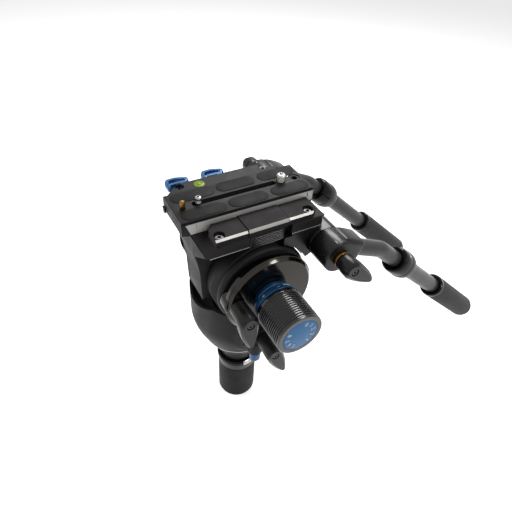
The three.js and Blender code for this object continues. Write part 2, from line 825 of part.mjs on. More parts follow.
function placedLever(name, hubLength, reach, angle, x, y, z) {
  const mesh = piece(name, lever(hubLength, reach), 'black');
  mesh.position.set(x, y, z);
  mesh.rotation.x = THREE.MathUtils.degToRad(angle);
}

function locks() {
  const tiltLeverX = sideCoverEndX + fit;
  const tiltStudEnd = tiltLeverX + tiltLockLength - leverSkin - fit;
  placedLever('tilt_lock_lever', tiltLockLength, tiltLockReach, tiltLockAngle, tiltLeverX, tiltLockY, tiltLockZ);
  piece('tilt_lock_stud', rodX(leverStudRadius, cheekInnerX + fit, tiltStudEnd, tiltLockY, tiltLockZ), 'steel');

  const panLeverX = panLockBossEnd + fit;
  const panStudEnd = panLeverX + panLockLength - leverSkin - fit;
  placedLever('pan_lock_lever', panLockLength, panLockReach, panLockAngle, panLeverX, tiltAxisY, panLockZ);
  const stud = rodX(leverStudRadius, panLockBossEnd - panLockStudDepth, panStudEnd, tiltAxisY, panLockZ);
  piece('pan_lock_stud', stud, 'steel');

  const dialTop = -dialDrop;
  piece('pan_drag_dial', join(
    rod(dialRadius, dialTop - dialHeight, dialTop, edgeBreak),
    rod(dialStemRadius, dialTop - edgeBreak, cupBottomZ + dialStemHeight - fit),
  ).translate(dialOffset, 0, 0), 'blue');
}

// Drum between the cheeks, the nose above it and the platform, as one casting
function tiltHousing() {
  const axisY = tiltAxisY;
  const axisZ = tiltAxisZ;
  const arcSteps = 18;
  const skirtAngle = Math.atan2(-skirtDrop, -skirtFront) + 2 * Math.PI;
  const rearAngle = Math.acos(drumRearReach / drumRadius);
  const arc = Array.from({ length: arcSteps + 1 }, (_, i) => {
    const angle = skirtAngle + (rearAngle + 2 * Math.PI - skirtAngle) * i / arcSteps;
    return [axisY + drumRadius * Math.cos(angle), axisZ + drumRadius * Math.sin(angle)];
  });
  const flare = new THREE.QuadraticBezierCurve(
    new THREE.Vector2(axisY - noseWaistFront, axisZ + noseWaistRise),
    new THREE.Vector2(axisY - noseWaistFront, axisZ + (noseWaistRise + noseFlareRise) / 2),
    new THREE.Vector2(axisY - noseFlareFront, axisZ + noseFlareRise),
  ).getPoints(4).map(({ x, y }) => [x, y]);
  const drum = raisedX([
    [axisY - skirtFront, axisZ - skirtDrop],
    ...arc.slice(1),
    [axisY + drumRearReach, platformBottomZ + edgeBreak],
    [axisY - creaseFront + edgeBreak, platformBottomZ + edgeBreak],
    [axisY - creaseFront, platformBottomZ - edgeBreak],
    ...flare.reverse(),
  ], -drumHalfWidth, drumHalfWidth);

  const front = axisY - creaseFront;
  const platform = raisedX([
    [front, platformBottomZ],
    [platformRear, platformBottomZ],
    [platformRear, platformTopZ],
    [front + platformFrontRun, platformTopZ],
  ], -platformHalfWidth, platformHalfWidth);
  const edge = platformHalfWidth;
  const plan = raised(outline([
    [-edge + platformCorner, front - edgeBreak],
    [edge - platformCorner, front - edgeBreak],
    [edge, front + platformCorner],
    [edge, platformRear - platformCorner],
    [edge - platformCorner, platformRear + edgeBreak],
    [-edge + platformCorner, platformRear + edgeBreak],
    [-edge, platformRear - platformCorner],
    [-edge, front + platformCorner],
  ]), platformBottomZ - overrun, platformTopZ + overrun);
  const corbel = raisedY([
    [-drumHalfWidth, platformBottomZ - noseFlareHeight],
    [drumHalfWidth, platformBottomZ - noseFlareHeight],
    [noseTopHalfWidth, platformBottomZ],
    [noseTopHalfWidth, platformBottomZ + edgeBreak],
    [-noseTopHalfWidth, platformBottomZ + edgeBreak],
    [-noseTopHalfWidth, platformBottomZ],
  ], front, front + noseFlareDepth);
  const casting = join(drum, common(platform, plan), corbel);
  const notch = block(
    platformHalfWidth - notchDepth, platformHalfWidth + overrun,
    buttonStart - fit, notchEnd,
    platformBottomZ - overrun, platformTopZ + overrun,
  );
  const axleBore = rodX(tiltAxleRadius + fit, -cheekInnerX, cheekInnerX, axisY, axisZ);
  return cut(casting, notch, axleBore);
}

// Half width of the dovetail at a height above its foot
function dovetailHalfWidth(height) {
  const slopeHeight = plateHeight - plateShoulderDrop - plateFootHeight;
  const rise = Math.max(height - plateFootHeight, 0);
  return plateFootHalfWidth - (plateFootHalfWidth - plateShoulderHalfWidth) * rise / slopeHeight;
}

// Section of a jaw in X and Z, from the dovetail face to the milled outer chamfer
function jawSection() {
  return [
    [plateFootHalfWidth + fit, jawBottomZ],
    [nearJawOuter, jawBottomZ],
    [nearJawOuter, jawTopZ - jawChamferHeight],
    [nearJawOuter - jawChamferWidth, jawTopZ],
    [dovetailHalfWidth(jawThickness) + fit, jawTopZ],
    [plateFootHalfWidth + fit, jawBottomZ + plateFootHeight],
  ];
}

function jaws() {
  const recess = (y) => (
    rodZ(jawScrewRecessRadius, jawTopZ - jawScrewRecessDepth, jawTopZ + overrun, jawScrewX, y)
  );
  const inner = plateShoulderHalfWidth;
  const below = jawBottomZ - overrun;
  const above = jawTopZ + overrun;
  const frontCorner = raised(outline([
    [inner - overrun, frontJawStart - overrun],
    [inner + 2 * jawCornerRadius, frontJawStart - overrun],
    [inner, frontJawStart + jawCornerRadius],
    [inner - overrun, frontJawStart + jawCornerRadius],
  ]), below, above);
  const rearCorner = raised(outline([
    [nearJawOuter + overrun, rearJawEnd - rearJawSlant],
    [nearJawOuter + overrun, rearJawEnd + overrun],
    [jawScrewX, rearJawEnd + overrun],
    [jawScrewX + overrun, rearJawEnd],
    [nearJawOuter, rearJawEnd - rearJawSlant],
  ]), below, above);
  const front = raisedY(jawSection(), frontJawStart, centreJawStart - fit);
  const rear = raisedY(jawSection(), rearJawStart + fit, rearJawEnd);
  piece('near_jaw_front', cut(front, frontCorner, recess(frontJawScrewY)), 'paint');
  piece('near_jaw_centre', raisedY(jawSection(), centreJawStart, rearJawStart), 'paint');
  piece('near_jaw_rear', cut(rear, rearCorner, recess(rearJawScrewY)), 'paint');
  piece('far_jaw', farJaw(), 'paint');
}

function farJaw() {
  const section = jawSection().map(([x, z]) => [-x, z]).reverse();
  const bar = raisedY(section, farJawFront, farJawRear);
  const edge = nearJawOuter + overrun;
  const plan = raised(outline([
    [0, farJawFront - overrun],
    [-farJawCornerX, farJawFront],
    [-farJawCornerX - farJawCornerRun, farJawFront + farJawCornerRun],
    [-edge, farJawFront + farJawCornerRun],
    [-edge, farJawRear - farJawCornerRun],
    [-farJawCornerX - farJawCornerRun, farJawRear - farJawCornerRun],
    [-farJawCornerX, farJawRear],
    [0, farJawRear + overrun],
  ]), jawBottomZ - overrun, jawTopZ + overrun);
  const level = rodZ(levelRadius + fit, jawTopZ - levelDepth, jawTopZ + overrun, levelX, levelY);
  const pockets = [frontLoopPivotY, rearLoopPivotY].map((y) => join(
    rodZ(loopRootRadius + fit, loopZ() - fit, loopZ() + loopLeverThickness + fit, loopPivotX, y),
    block(
      -edge, loopPivotX + loopPinRadius, y - loopPocketStart, y + loopPocketEnd,
      loopZ() - fit, loopZ() + loopLeverThickness + fit,
    ),
  ));
  const pinHoles = [frontLoopPivotY, rearLoopPivotY].map((y) => (
    rodZ(loopPinRadius + fit, jawBottomZ - overrun, jawTopZ - edgeBreak, loopPivotX, y)
  ));
  return cut(common(bar, plan), level, ...pockets, ...pinHoles);
}

const loopZ = () => jawBottomZ + loopPivotRise;

// Flat lever with a finger loop, pivoted on an upright pin under the far jaw
function loopLever(y) {
  const z = loopZ();
  const x = loopPivotX - loopCentreSide;
  const centreY = y - loopCentreRun;
  const ring = (width, length) => {
    const shape = new THREE.Shape();
    const radius = width / 2;
    shape.absarc(x, centreY + length / 2 - radius, radius, 0, Math.PI, false);
    shape.absarc(x, centreY - length / 2 + radius, radius, Math.PI, 2 * Math.PI, false);
    return shape;
  };
  const outer = raised(ring(loopWidth, loopLength), z, z + loopLeverThickness);
  const opening = raised(
    ring(loopWidth - 2 * loopWall, loopLength - 2 * loopWall),
    z - overrun, z + loopLeverThickness + overrun,
  );
  const root = rodZ(loopRootRadius, z, z + loopLeverThickness, loopPivotX, y);
  const neck = block(x, loopPivotX, y - loopRootRadius, y + loopPinRadius, z, z + loopLeverThickness);
  const pinHole = rodZ(loopPinRadius + fit, z - overrun, z + loopLeverThickness + overrun, loopPivotX, y);
  return cut(join(outer, neck, root), opening, pinHole);
}

function platformControls() {
  piece('release_button', releaseButton(), 'plastic');
  [['front', frontLoopPivotY], ['rear', rearLoopPivotY]].forEach(([place, y]) => {
    piece(`${place}_release_lever`, loopLever(y), 'blue');
    const pin = rodZ(loopPinRadius, jawBottomZ + fit, jawTopZ - edgeBreak - fit, loopPivotX, y);
    piece(`${place}_lever_pin`, pin, 'steel');
  });
  const levelBottom = jawTopZ - levelDepth + fit;
  piece('bubble_level', turned([
    [0, levelBottom],
    [levelRadius, levelBottom],
    [levelRadius, levelBottom + levelHeight - edgeBreak],
    [levelRadius - edgeBreak, levelBottom + levelHeight],
    [0, levelBottom + levelHeight],
  ]).translate(levelX, levelY, 0), 'level');
}

// Button with ribs along its outer face
function releaseButton() {
  const top = platformTopZ - fit;
  const bottom = top - buttonHeight;
  const outer = platformHalfWidth + buttonProud;
  const inner = outer - buttonThickness;
  const pitch = buttonHeight / buttonRibs;
  const ribs = Array.from({ length: buttonRibs }, (_, i) => {
    const start = bottom + i * pitch;
    return [[outer - buttonRibDepth, start], [outer, start + pitch / 3], [outer, start + 2 * pitch / 3]];
  }).flat();
  return raisedY([[inner, bottom], ...ribs, [outer - buttonRibDepth, top], [inner, top]], buttonStart, buttonEnd);
}

// Round bar behind the platform, with a web under the platform that follows the round of the cheeks
function crossBar() {
  const top = platformBottomZ - fit;
  const bar = rodX(crossBarRadius, -crossBarHalfLength, crossBarHalfLength, barAxisY, barAxisZ);
  const webRadius = cheekRadius + crossBarWebClearance;
  const hollow = new THREE.EllipseCurve(
    tiltAxisY, tiltAxisZ, webRadius, webRadius,
    Math.acos((crossBarWebFront - tiltAxisY) / webRadius), THREE.MathUtils.degToRad(crossBarWebEndAngle), true,
  ).getPoints(4).map(({ x, y }) => [x, y]);
  const web = raisedX([
    [crossBarWebFront, top],
    ...hollow,
    [barAxisY, barAxisZ],
    [barAxisY, top],
  ], -crossBarWebHalfWidth, crossBarWebHalfWidth);
  const drumRoom = rodX(drumRadius + fit, -cheekInnerX, cheekInnerX, tiltAxisY, tiltAxisZ);
  const above = block(
    -2 * crossBarHalfLength, 2 * crossBarHalfLength,
    barAxisY - 2 * crossBarRadius, barAxisY + 2 * crossBarRadius,
    top, top + 2 * crossBarRadius,
  );
  const bores = [-1, 1].map((side) => {
    const ends = [side * (crossBarHalfLength - barStudSink), side * (crossBarHalfLength + overrun)];
    return rodX(barStudRadius + fit, Math.min(...ends), Math.max(...ends), barAxisY, barAxisZ);
  });
  return cut(join(bar, web), above, drumRoom, ...bores);
}

// Eye on the end of the cross bar with the slit socket that holds the bent tube
function barClamp() {
  const eye = rodX(crossBarRadius, -eyeHalfLength, eyeHalfLength, 0, 0, eyeBreak);
  const socket = onFirstLeg(rod(socketRadius, 0, socketLength, edgeBreak));
  const bore = onFirstLeg(rodZ(innerTubeRadius + fit, socketBoreStart, socketLength + overrun));
  const slit = onFirstLeg(block(
    -socketSlitWidth / 2, socketSlitWidth / 2,
    0, 2 * socketRadius,
    socketLength - socketSlitLength, socketLength + overrun,
  ));
  const studBore = rodX(barStudRadius + fit, -eyeLength, eyeLength, 0, 0);
  return cut(join(eye, socket), bore, slit, studBore);
}

const firstLegTurn = -THREE.MathUtils.degToRad(90 + firstLegAngle);
const secondLegTurn = -THREE.MathUtils.degToRad(90 + secondLegAngle);

// From a leg's own frame, with +Z down the leg, to the frame of the bar's eye
const legDirection = (angle) => new THREE.Vector3(
  0,
  Math.cos(THREE.MathUtils.degToRad(angle)),
  -Math.sin(THREE.MathUtils.degToRad(angle)),
);
const firstLegStart = new THREE.Vector3(
  0,
  socketRise * Math.sin(THREE.MathUtils.degToRad(firstLegAngle)),
  socketRise * Math.cos(THREE.MathUtils.degToRad(firstLegAngle)),
);
const bendPoint = firstLegStart.clone().addScaledVector(legDirection(firstLegAngle), firstLegLength);
const onFirstLeg = (geometry) => (
  geometry.rotateX(firstLegTurn).translate(0, firstLegStart.y, firstLegStart.z)
);

// Straight, bend and straight again
function bentTube() {
  const first = legDirection(firstLegAngle);
  const second = legDirection(secondLegAngle);
  const half = THREE.MathUtils.degToRad(secondLegAngle - firstLegAngle) / 2;
  const tangent = bendRadius * Math.tan(half);
  const from = bendPoint.clone().addScaledVector(first, -tangent);
  const to = bendPoint.clone().addScaledVector(second, tangent);
  const bend = new THREE.QuadraticBezierCurve3(from, bendPoint, to).getPoints(bendSteps);
  const path = [
    firstLegStart.clone().addScaledVector(first, socketBoreStart + fit),
    ...bend,
    bendPoint.clone().addScaledVector(second, innerTubeLength),
  ];
  return pipe(path, innerTubeRadius, sidesFor(innerTubeRadius), () => new THREE.Vector3(1, 0, 0));
}

// Twist collar that locks the outer tube on the inner one
function barCollar() {
  const start = barCollarStart;
  const end = start + barCollarLength;
  const step = start + barCollarStepDepth;
  const flare = start + barCollarLength * barCollarFlareShare;
  return turnedRing([
    [innerTubeRadius + fit, start],
    [barCollarRingRadius, start],
    [barCollarRingRadius, start + barCollarRingLength],
    [barCollarNeckRadius, start + barCollarRingLength],
    [barCollarRadius, flare],
    [barCollarRadius, end - barCollarRingLength],
    [barCollarEndRadius, end],
    [outerTubeRadius + fit, end],
    [outerTubeRadius + fit, step],
    [innerTubeRadius + fit, step],
  ]);
}

function outerTube() {
  const start = barCollarStart + barCollarStepDepth + fit;
  return turned([
    [0, outerTubeEnd],
    [outerTubeRadius, outerTubeEnd],
    [outerTubeRadius, start],
    [innerTubeRadius + fit, start],
    [innerTubeRadius + fit, outerTubeEnd - innerTubeRadius],
    [0, outerTubeEnd - innerTubeRadius],
  ]);
}

function barGrip() {
  const end = barGripStart + barGripLength;
  return turned([
    [0, end],
    [barGripRadius - 2 * barGripRounding, end],
    [barGripRadius - barGripRounding / 2, end - barGripRounding],
    [barGripRadius, end - 2 * barGripRounding],
    [barGripRadius, barGripStart + edgeBreak],
    [barGripRadius - edgeBreak, barGripStart],
    [outerTubeRadius + fit, barGripStart],
    [outerTubeRadius + fit, outerTubeEnd + fit],
    [0, outerTubeEnd + fit],
  ]);
}

function panBar(name, side, retraction) {
  const bar = new THREE.Group();
  bar.position.set(side * eyeCentreX, barAxisY, barAxisZ);
  head.add(bar);
  const handed = (geometry) => (side > 0 ? geometry : mirrored(geometry));
  const collarStart = eyeHalfLength + fit;
  const leverStart = collarStart + clampCollarLength + fit;
  const studEnd = leverStart + barLeverLength - leverSkin - fit;
  const studStart = -eyeHalfLength - fit - barStudSink + fit;
  const collar = tube(clampCollarRadius, barStudRadius + fit, collarStart, collarStart + clampCollarLength);
  piece(`${name}_bar_clamp`, barClamp(), 'black', bar);
  piece(`${name}_clamp_collar`, handed(collar.applyMatrix4(alongX)), 'brass', bar);
  piece(`${name}_clamp_stud`, handed(rodX(leverStudRadius, studStart, studEnd, 0, 0)), 'steel', bar);
  const arm = lever(barLeverLength, barLeverReach).rotateX(THREE.MathUtils.degToRad(barLeverAngle));
  piece(`${name}_clamp_lever`, handed(arm.translate(leverStart, 0, 0)), 'black', bar);
  piece(`${name}_bent_tube`, bentTube(), 'plastic', bar);

  const secondLeg = new THREE.Group();
  secondLeg.position.copy(bendPoint).addScaledVector(legDirection(secondLegAngle), -retraction);
  secondLeg.rotation.x = secondLegTurn;
  bar.add(secondLeg);
  piece(`${name}_bar_collar`, barCollar(), 'paint', secondLeg);
  piece(`${name}_extension_tube`, outerTube(), 'plastic', secondLeg);
  piece(`${name}_bar_grip`, barGrip(), 'rubber', secondLeg);
}

// Plate with dovetail sides, a slot for the camera screws and raised rubber pads
function cameraPlate() {
  const shoulder = plateTopZ - plateShoulderDrop;
  const foot = plateBottomZ + plateFootHeight;
  const half = [
    [plateFootHalfWidth, plateBottomZ],
    [plateFootHalfWidth, foot],
    [plateShoulderHalfWidth, shoulder],
    [plateTopHalfWidth - plateGroove, shoulder],
    [plateTopHalfWidth - plateGroove, shoulder + plateGroove],
    [plateTopHalfWidth, shoulder + plateGroove],
    [plateTopHalfWidth, plateTopZ],
  ];
  const section = [...half, ...half.map(([x, z]) => [-x, z]).reverse()];
  const rear = plateFrontY + plateLength;
  const bar = raisedY(section, plateFrontY, rear);
  const inset = plateFootHalfWidth - plateCorner;
  const plan = raised(outline([
    [-inset, plateFrontY],
    [inset, plateFrontY],
    [plateFootHalfWidth, plateFrontY + plateCorner],
    [plateFootHalfWidth, rear - plateCorner],
    [inset, rear],
    [-inset, rear],
    [-plateFootHalfWidth, rear - plateCorner],
    [-plateFootHalfWidth, plateFrontY + plateCorner],
  ]), plateBottomZ - overrun, plateTopZ + overrun);
  const pads = padCentres.flatMap((y, i) => [-1, 1].map((side) => {
    const reach = padLengths[i] / 2 - padWidth / 2;
    return stadium(side * padOffset, y - reach, y + reach, padWidth, plateTopZ - padHeight, plateTopZ + padHeight);
  }));
  const above = plateTopZ + overrun;
  const slot = stadium(0, slotStart + slotWidth / 2, slotEnd, slotWidth, plateBottomZ - overrun, above);
  const headSlot = stadium(
    0, headSlotStart + headSlotWidth / 2, headSlotEnd - headSlotWidth / 2, headSlotWidth,
    plateBottomZ - overrun, plateBottomZ + headSlotDepth,
  );
  const bigHole = rodZ(threeEighthsRadius + fit, plateBottomZ, above, threeEighthsX, threeEighthsY);
  const hole = rodZ(threadedHoleRadius, plateBottomZ - overrun, above, 0, threadedHoleY);
  const recess = rodZ(threadedHoleRecess, plateTopZ - threadedHoleRecessDepth, above, 0, threadedHoleY);
  const pinHole = rodZ(pinRadius + fit, plateTopZ - pinDepth, above, pinX, pinY);
  return cut(join(common(bar, plan), ...pads), slot, headSlot, bigHole, hole, recess, pinHole);
}

// Outline with round ends, along Y between two centres, raised from one height to another
function stadium(x, startY, endY, width, bottom, top) {
  const shape = new THREE.Shape();
  shape.absarc(x, endY, width / 2, 0, Math.PI, false);
  shape.absarc(x, startY, width / 2, Math.PI, 2 * Math.PI, false);
  return raised(shape, bottom, top);
}

// Screw that stands in the plate: a flat head below and a chamfered shank above
function cameraScrew(radius, proud) {
  const bottom = plateBottomZ + headSlotDepth - fit - screwHeadHeight;
  const top = plateTopZ + proud;
  return turned([
    [0, bottom],
    [screwHeadRadius, bottom],
    [screwHeadRadius, bottom + screwHeadHeight],
    [radius, bottom + screwHeadHeight],
    [radius, top - edgeBreak],
    [radius - edgeBreak, top],
    [0, top],
  ], 20);
}

function plateAndScrews() {
  piece('camera_plate', cameraPlate(), 'paint');
  piece('quarter_screw', cameraScrew(quarterRadius, screwProud).translate(0, quarterY, 0), 'steel');
  const bigScrew = cameraScrew(threeEighthsRadius, threeEighthsProud);
  piece('three_eighths_screw', bigScrew.translate(threeEighthsX, threeEighthsY, 0), 'steel');
  const pinBottom = plateTopZ - pinDepth + fit;
  piece('anti_twist_pin', rod(pinRadius, pinBottom, plateTopZ + pinProud, edgeBreak).translate(pinX, pinY, 0), 'brass');
  const stopX = -plateFootHalfWidth + plateCorner;
  piece('plate_stop', block(
    stopX, stopX + stopWidth,
    plateFrontY - fit - stopThickness, plateFrontY - fit,
    plateBottomZ + fit, plateBottomZ + fit + stopHeight,
  ), 'black');
}

piece('base_half_ball', baseHalfBall(), 'paint');
tieDown();
panAxle();
piece('pan_housing', panHousing(), 'paint');
tiltBearings();
tiltControls();
locks();
piece('tilt_housing', tiltHousing(), 'paint');
jaws();
platformControls();
piece('cross_bar', crossBar(), 'black');
plateAndScrews();
panBar('near', 1, 0);
panBar('far', -1, farBarRetraction);

export default head;
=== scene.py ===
"""Finished look of a fluid video head: castings, polished covers, dials, rubber grips and marks."""

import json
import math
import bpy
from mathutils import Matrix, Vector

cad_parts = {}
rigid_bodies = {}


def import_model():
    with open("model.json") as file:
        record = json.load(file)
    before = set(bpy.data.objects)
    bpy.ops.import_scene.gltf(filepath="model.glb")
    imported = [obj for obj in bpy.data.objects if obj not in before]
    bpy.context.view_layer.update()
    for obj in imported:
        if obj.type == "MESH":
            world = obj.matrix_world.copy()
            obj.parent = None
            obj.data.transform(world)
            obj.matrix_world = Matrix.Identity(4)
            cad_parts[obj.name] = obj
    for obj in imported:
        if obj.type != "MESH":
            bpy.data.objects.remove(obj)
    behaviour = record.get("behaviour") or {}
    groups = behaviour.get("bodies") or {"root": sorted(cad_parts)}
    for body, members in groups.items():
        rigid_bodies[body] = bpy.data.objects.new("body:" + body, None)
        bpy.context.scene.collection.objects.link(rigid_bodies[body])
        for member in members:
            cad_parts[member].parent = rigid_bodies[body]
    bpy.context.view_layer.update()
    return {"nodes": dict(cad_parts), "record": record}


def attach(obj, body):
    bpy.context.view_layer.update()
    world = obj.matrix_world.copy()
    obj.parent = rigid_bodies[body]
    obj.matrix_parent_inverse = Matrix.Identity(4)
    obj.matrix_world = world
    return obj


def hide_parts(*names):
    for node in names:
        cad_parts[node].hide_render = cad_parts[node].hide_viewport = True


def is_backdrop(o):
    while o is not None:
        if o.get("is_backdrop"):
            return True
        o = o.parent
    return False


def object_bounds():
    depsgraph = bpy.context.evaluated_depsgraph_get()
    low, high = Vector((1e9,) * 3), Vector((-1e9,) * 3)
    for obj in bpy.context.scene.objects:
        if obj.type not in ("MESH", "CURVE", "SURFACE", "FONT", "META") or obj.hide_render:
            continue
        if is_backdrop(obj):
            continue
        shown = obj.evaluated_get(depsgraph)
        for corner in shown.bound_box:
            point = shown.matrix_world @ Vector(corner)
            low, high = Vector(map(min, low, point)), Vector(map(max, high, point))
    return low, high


bl_info = {
    "name": "Fluid Video Head",
    "version": (1, 0, 0),
    "blender": (4, 5, 0),
    "location": "View3D > Sidebar > Video Head",
    "description": "Dresses the solids of a fluid video head with finished pieces and materials",
    "category": "Object",
}

import bmesh
import bpy
from bpy.props import FloatProperty, FloatVectorProperty, IntProperty, PointerProperty
from mathutils import Matrix, Vector

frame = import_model()
record = frame["record"]
body_of = {node: body for body, nodes in record["behaviour"]["bodies"].items() for node in nodes}
slot_of = {part["node"]: part["material_slot"] for part in record["subparts"]}

# The scene is in metres, and every size below is in millimetres until a piece is finished
MILLIMETRE = 0.001

# Y and Z of the lines along X that pieces turn about
TILT_AXIS = (3.0, 117.0)
BAR_AXIS = (67.0, 161.0)
TILT_LOCK = (-35.5, 120.0)
PAN_LOCK = (3.0, 38.6)

# X and Y of upright pieces
DIAL_PLACE = (46.6, 0.0)
LEVEL_PLACE = (-39.3, -27.6)
PIN_PLACE = (3.0, -62.0)
LOOP_PIVOTS = {"front": (-45.0, -38.5), "rear": (-45.0, 2.5)}
NEAR_JAW_SCREWS = {"front": (43.6, -43.8), "rear": (43.6, 51.0)}
FAR_JAW_SCREWS = ((-43.0, -48.0), (-43.0, 48.5))
QUARTER_SCREW = (0.0, -45.0)
THREE_EIGHTHS_SCREW = (0.6, 45.0)

# Radii of the bores round studs, shafts and the axle
TIE_DOWN_BORE = 6.3
SHAFT_BORE = 6.3
AXLE_BORE = 8.3
TILT_LOCK_BORE = 4.0
STUD_BORE = 4.3
LOOP_PIN_BORE = 2.1

# Pan housing: a cup with two round cheeks
CUP_RADIUS = 57.0
CHEEK_RADIUS = 51.3
CHEEK_START = 20.1
CHEEK_END = 43.0
PAST_CUP = 63.0
FINE_SIDES = 160

# Tilt casting: a drum between the cheeks with the platform on it
DRUM_RADIUS = 55.0
DRUM_HALF = 19.6
PLATFORM_HALF = 51.0
PLATFORM_LOW = 178.0
PLATFORM_TOP = 189.9

# Jaws and camera plate. A cut through a jaw runs from JAW_CUT_LOW to JAW_CUT_HIGH.
JAW_LOW = 190.2
JAW_TOP = 197.5
JAW_CUT_LOW = 184.0
JAW_CUT_HIGH = 204.0
PLATE_HALF = 26.5
PLATE_FRONT = -71.9
PLATE_REAR = 70.1
PLATE_TOP = 205.0
PLATE_CUT_HIGH = 211.0

# Side controls, from the housing outwards
RING_FLARE = ((22.2, 72.9), (24.5, 79.2))
KNOB_RADIUS = 24.8
KNOB_FACE = 121.9
CAP_FACE = 122.2
NUMERAL_TURNS = (69, 41, 11, -20, -51, 241, 212, 183, 154)

# Cross bar and pan bars
BAR_RADIUS = 18.2
EYE_X = 72.0
EYE_HALF = 13.7
TUBE_RADIUS = 9.2
FIRST_LEG_ANGLE = 25.5
SECOND_LEG_ANGLE = 42.5
FIRST_LEG_LENGTH = 72.8

# Depth of the screw's seat in the face of a lever
SCREW_SINK = 2.4

# Distance between the crests of a wave texture whose scale is 1
WAVE_SPACING = 0.314

# A rounded corner takes up at most this share of the edges beside it
CORNER_SHARE = 0.45


def linear(hex_colour):
    """Linear red, green and blue of an sRGB hex colour"""
    channels = [(hex_colour >> shift & 255) / 255 for shift in (16, 8, 0)]
    return [c / 12.92 if c <= 0.04045 else ((c + 0.055) / 1.055) ** 2.4 for c in channels]


def length(name, millimetres, description):
    return FloatProperty(
        name=name, description=description, default=millimetres * MILLIMETRE, min=0,
        subtype="DISTANCE", unit="LENGTH", precision=5,
    )


def colour(name, hex_colour, description):
    return FloatVectorProperty(
        name=name, description=description, default=linear(hex_colour), size=3,
        min=0, max=1, subtype="COLOR",
    )


class HeadSizes(bpy.types.PropertyGroup):
    """Sizes of the details that the solids leave out"""

    round_sides: IntProperty(
        name="Sides of rounds", description="Number of sides of each turned piece",
        default=96, min=24, max=256,
    )
    knob_rib: length("Knob rib", 0.72, "Radius of the round ribs on the side knob")
    knob_rib_pitch: length("Knob rib pitch", 2.70875, "Distance from one knob rib to the next")
    knob_ribs: IntProperty(
        name="Knob ribs", description="Number of ribs round the side knob", default=13, min=1, max=30,
    )
    numeral_height: length("Numeral height", 6.4, "Height of the numerals on the blue cap")
    numeral_ring: length("Numeral ring", 13.9, "Radius at which the numerals stand")
    mark_width: length("Mark width", 0.55, "Width of a printed mark")
    pad_height: length("Pad height", 0.4, "Height of the rubber pads above the camera plate")
    screw_head: length("Screw head", 2.6, "Head radius of the small socket screws")
    screw_socket: length("Screw socket", 1.35, "Radius of the hexagonal socket in a small screw")


class HeadColours(bpy.types.PropertyGroup):
    """Colours of the finishes"""

    casting: colour("Castings", 0x262425, "Powder-coated housings and jaws")
    anodised: colour("Black anodising", 0x1A191A, "Levers, clamps and tubes")
    tube: colour("Tube black", 0x363535, "Painted bent and telescopic tubes")
    black_steel: colour("Blackened steel", 0x3A3938, "Socket screws of the levers and covers")
    polished: colour("Polished black", 0x353330, "Polished side cover")
    milled: colour("Milled aluminium", 0xA5A39F, "Bare dovetail sides and jaw chamfers")
    blue: colour("Blue anodising", 0x265A8C, "Drag ring, dial and release levers")
    cap: colour("Cap blue", 0x4B83B9, "Numbered cap of the side knob")
    white: colour("Marking white", 0xD8DDE1, "Numerals and scale marks")
    rubber: colour("Rubber", 0x454344, "Grips of the pan bars")
    dark_rubber: colour("Dark rubber", 0x1D1C1D, "Grip of the tie-down")
    # The tie-down grip's rubber is painted darker than the bar grips' rubber: painted shade, not a different
    # rubber
    pad: colour("Pads", 0x131313, "Pads on the camera plate")
    gloss: colour("Gloss black", 0x090909, "Glossy rings of the collars and grips")
    moulded: colour("Moulded black", 0x141314, "Plastic knob, button and washer")
    steel: colour("Plated steel", 0xA8A7A3, "Screws and pins")
    brass: colour("Brass", 0x80602F, "Brass collars and pin")
    level: colour("Level liquid", 0x7F981A, "Liquid of the bubble level")
    level_rim: colour("Level rim", 0x6E7558, "Clear rim of the bubble level")
    level_bubble: colour("Level bubble", 0x93AE1E, "Air bubble in the level")


def settings():
    return bpy.context.scene.video_head_sizes


def size(name):
    """A size of the property group in millimetres"""
    return getattr(settings(), name) / MILLIMETRE


def tint(name):
    return (*getattr(bpy.context.scene.video_head_colours, name), 1.0)


# Materials

def add(tree, kind, inputs=None, **options):
    """Adds a node with its options. An input takes a value, or the output that is linked to it."""
    node = tree.nodes.new(kind)
    for key, value in options.items():
        setattr(node, key, value)
    for key, value in (inputs or {}).items():
        if isinstance(value, bpy.types.NodeSocket):
            tree.links.new(value, node.inputs[key])
        else:
            node.inputs[key].default_value = value
    return node


def node_tree_of(data):
    """Empty node tree of a material or a world"""
    data.use_nodes = True
    data.node_tree.nodes.clear()
    return data.node_tree


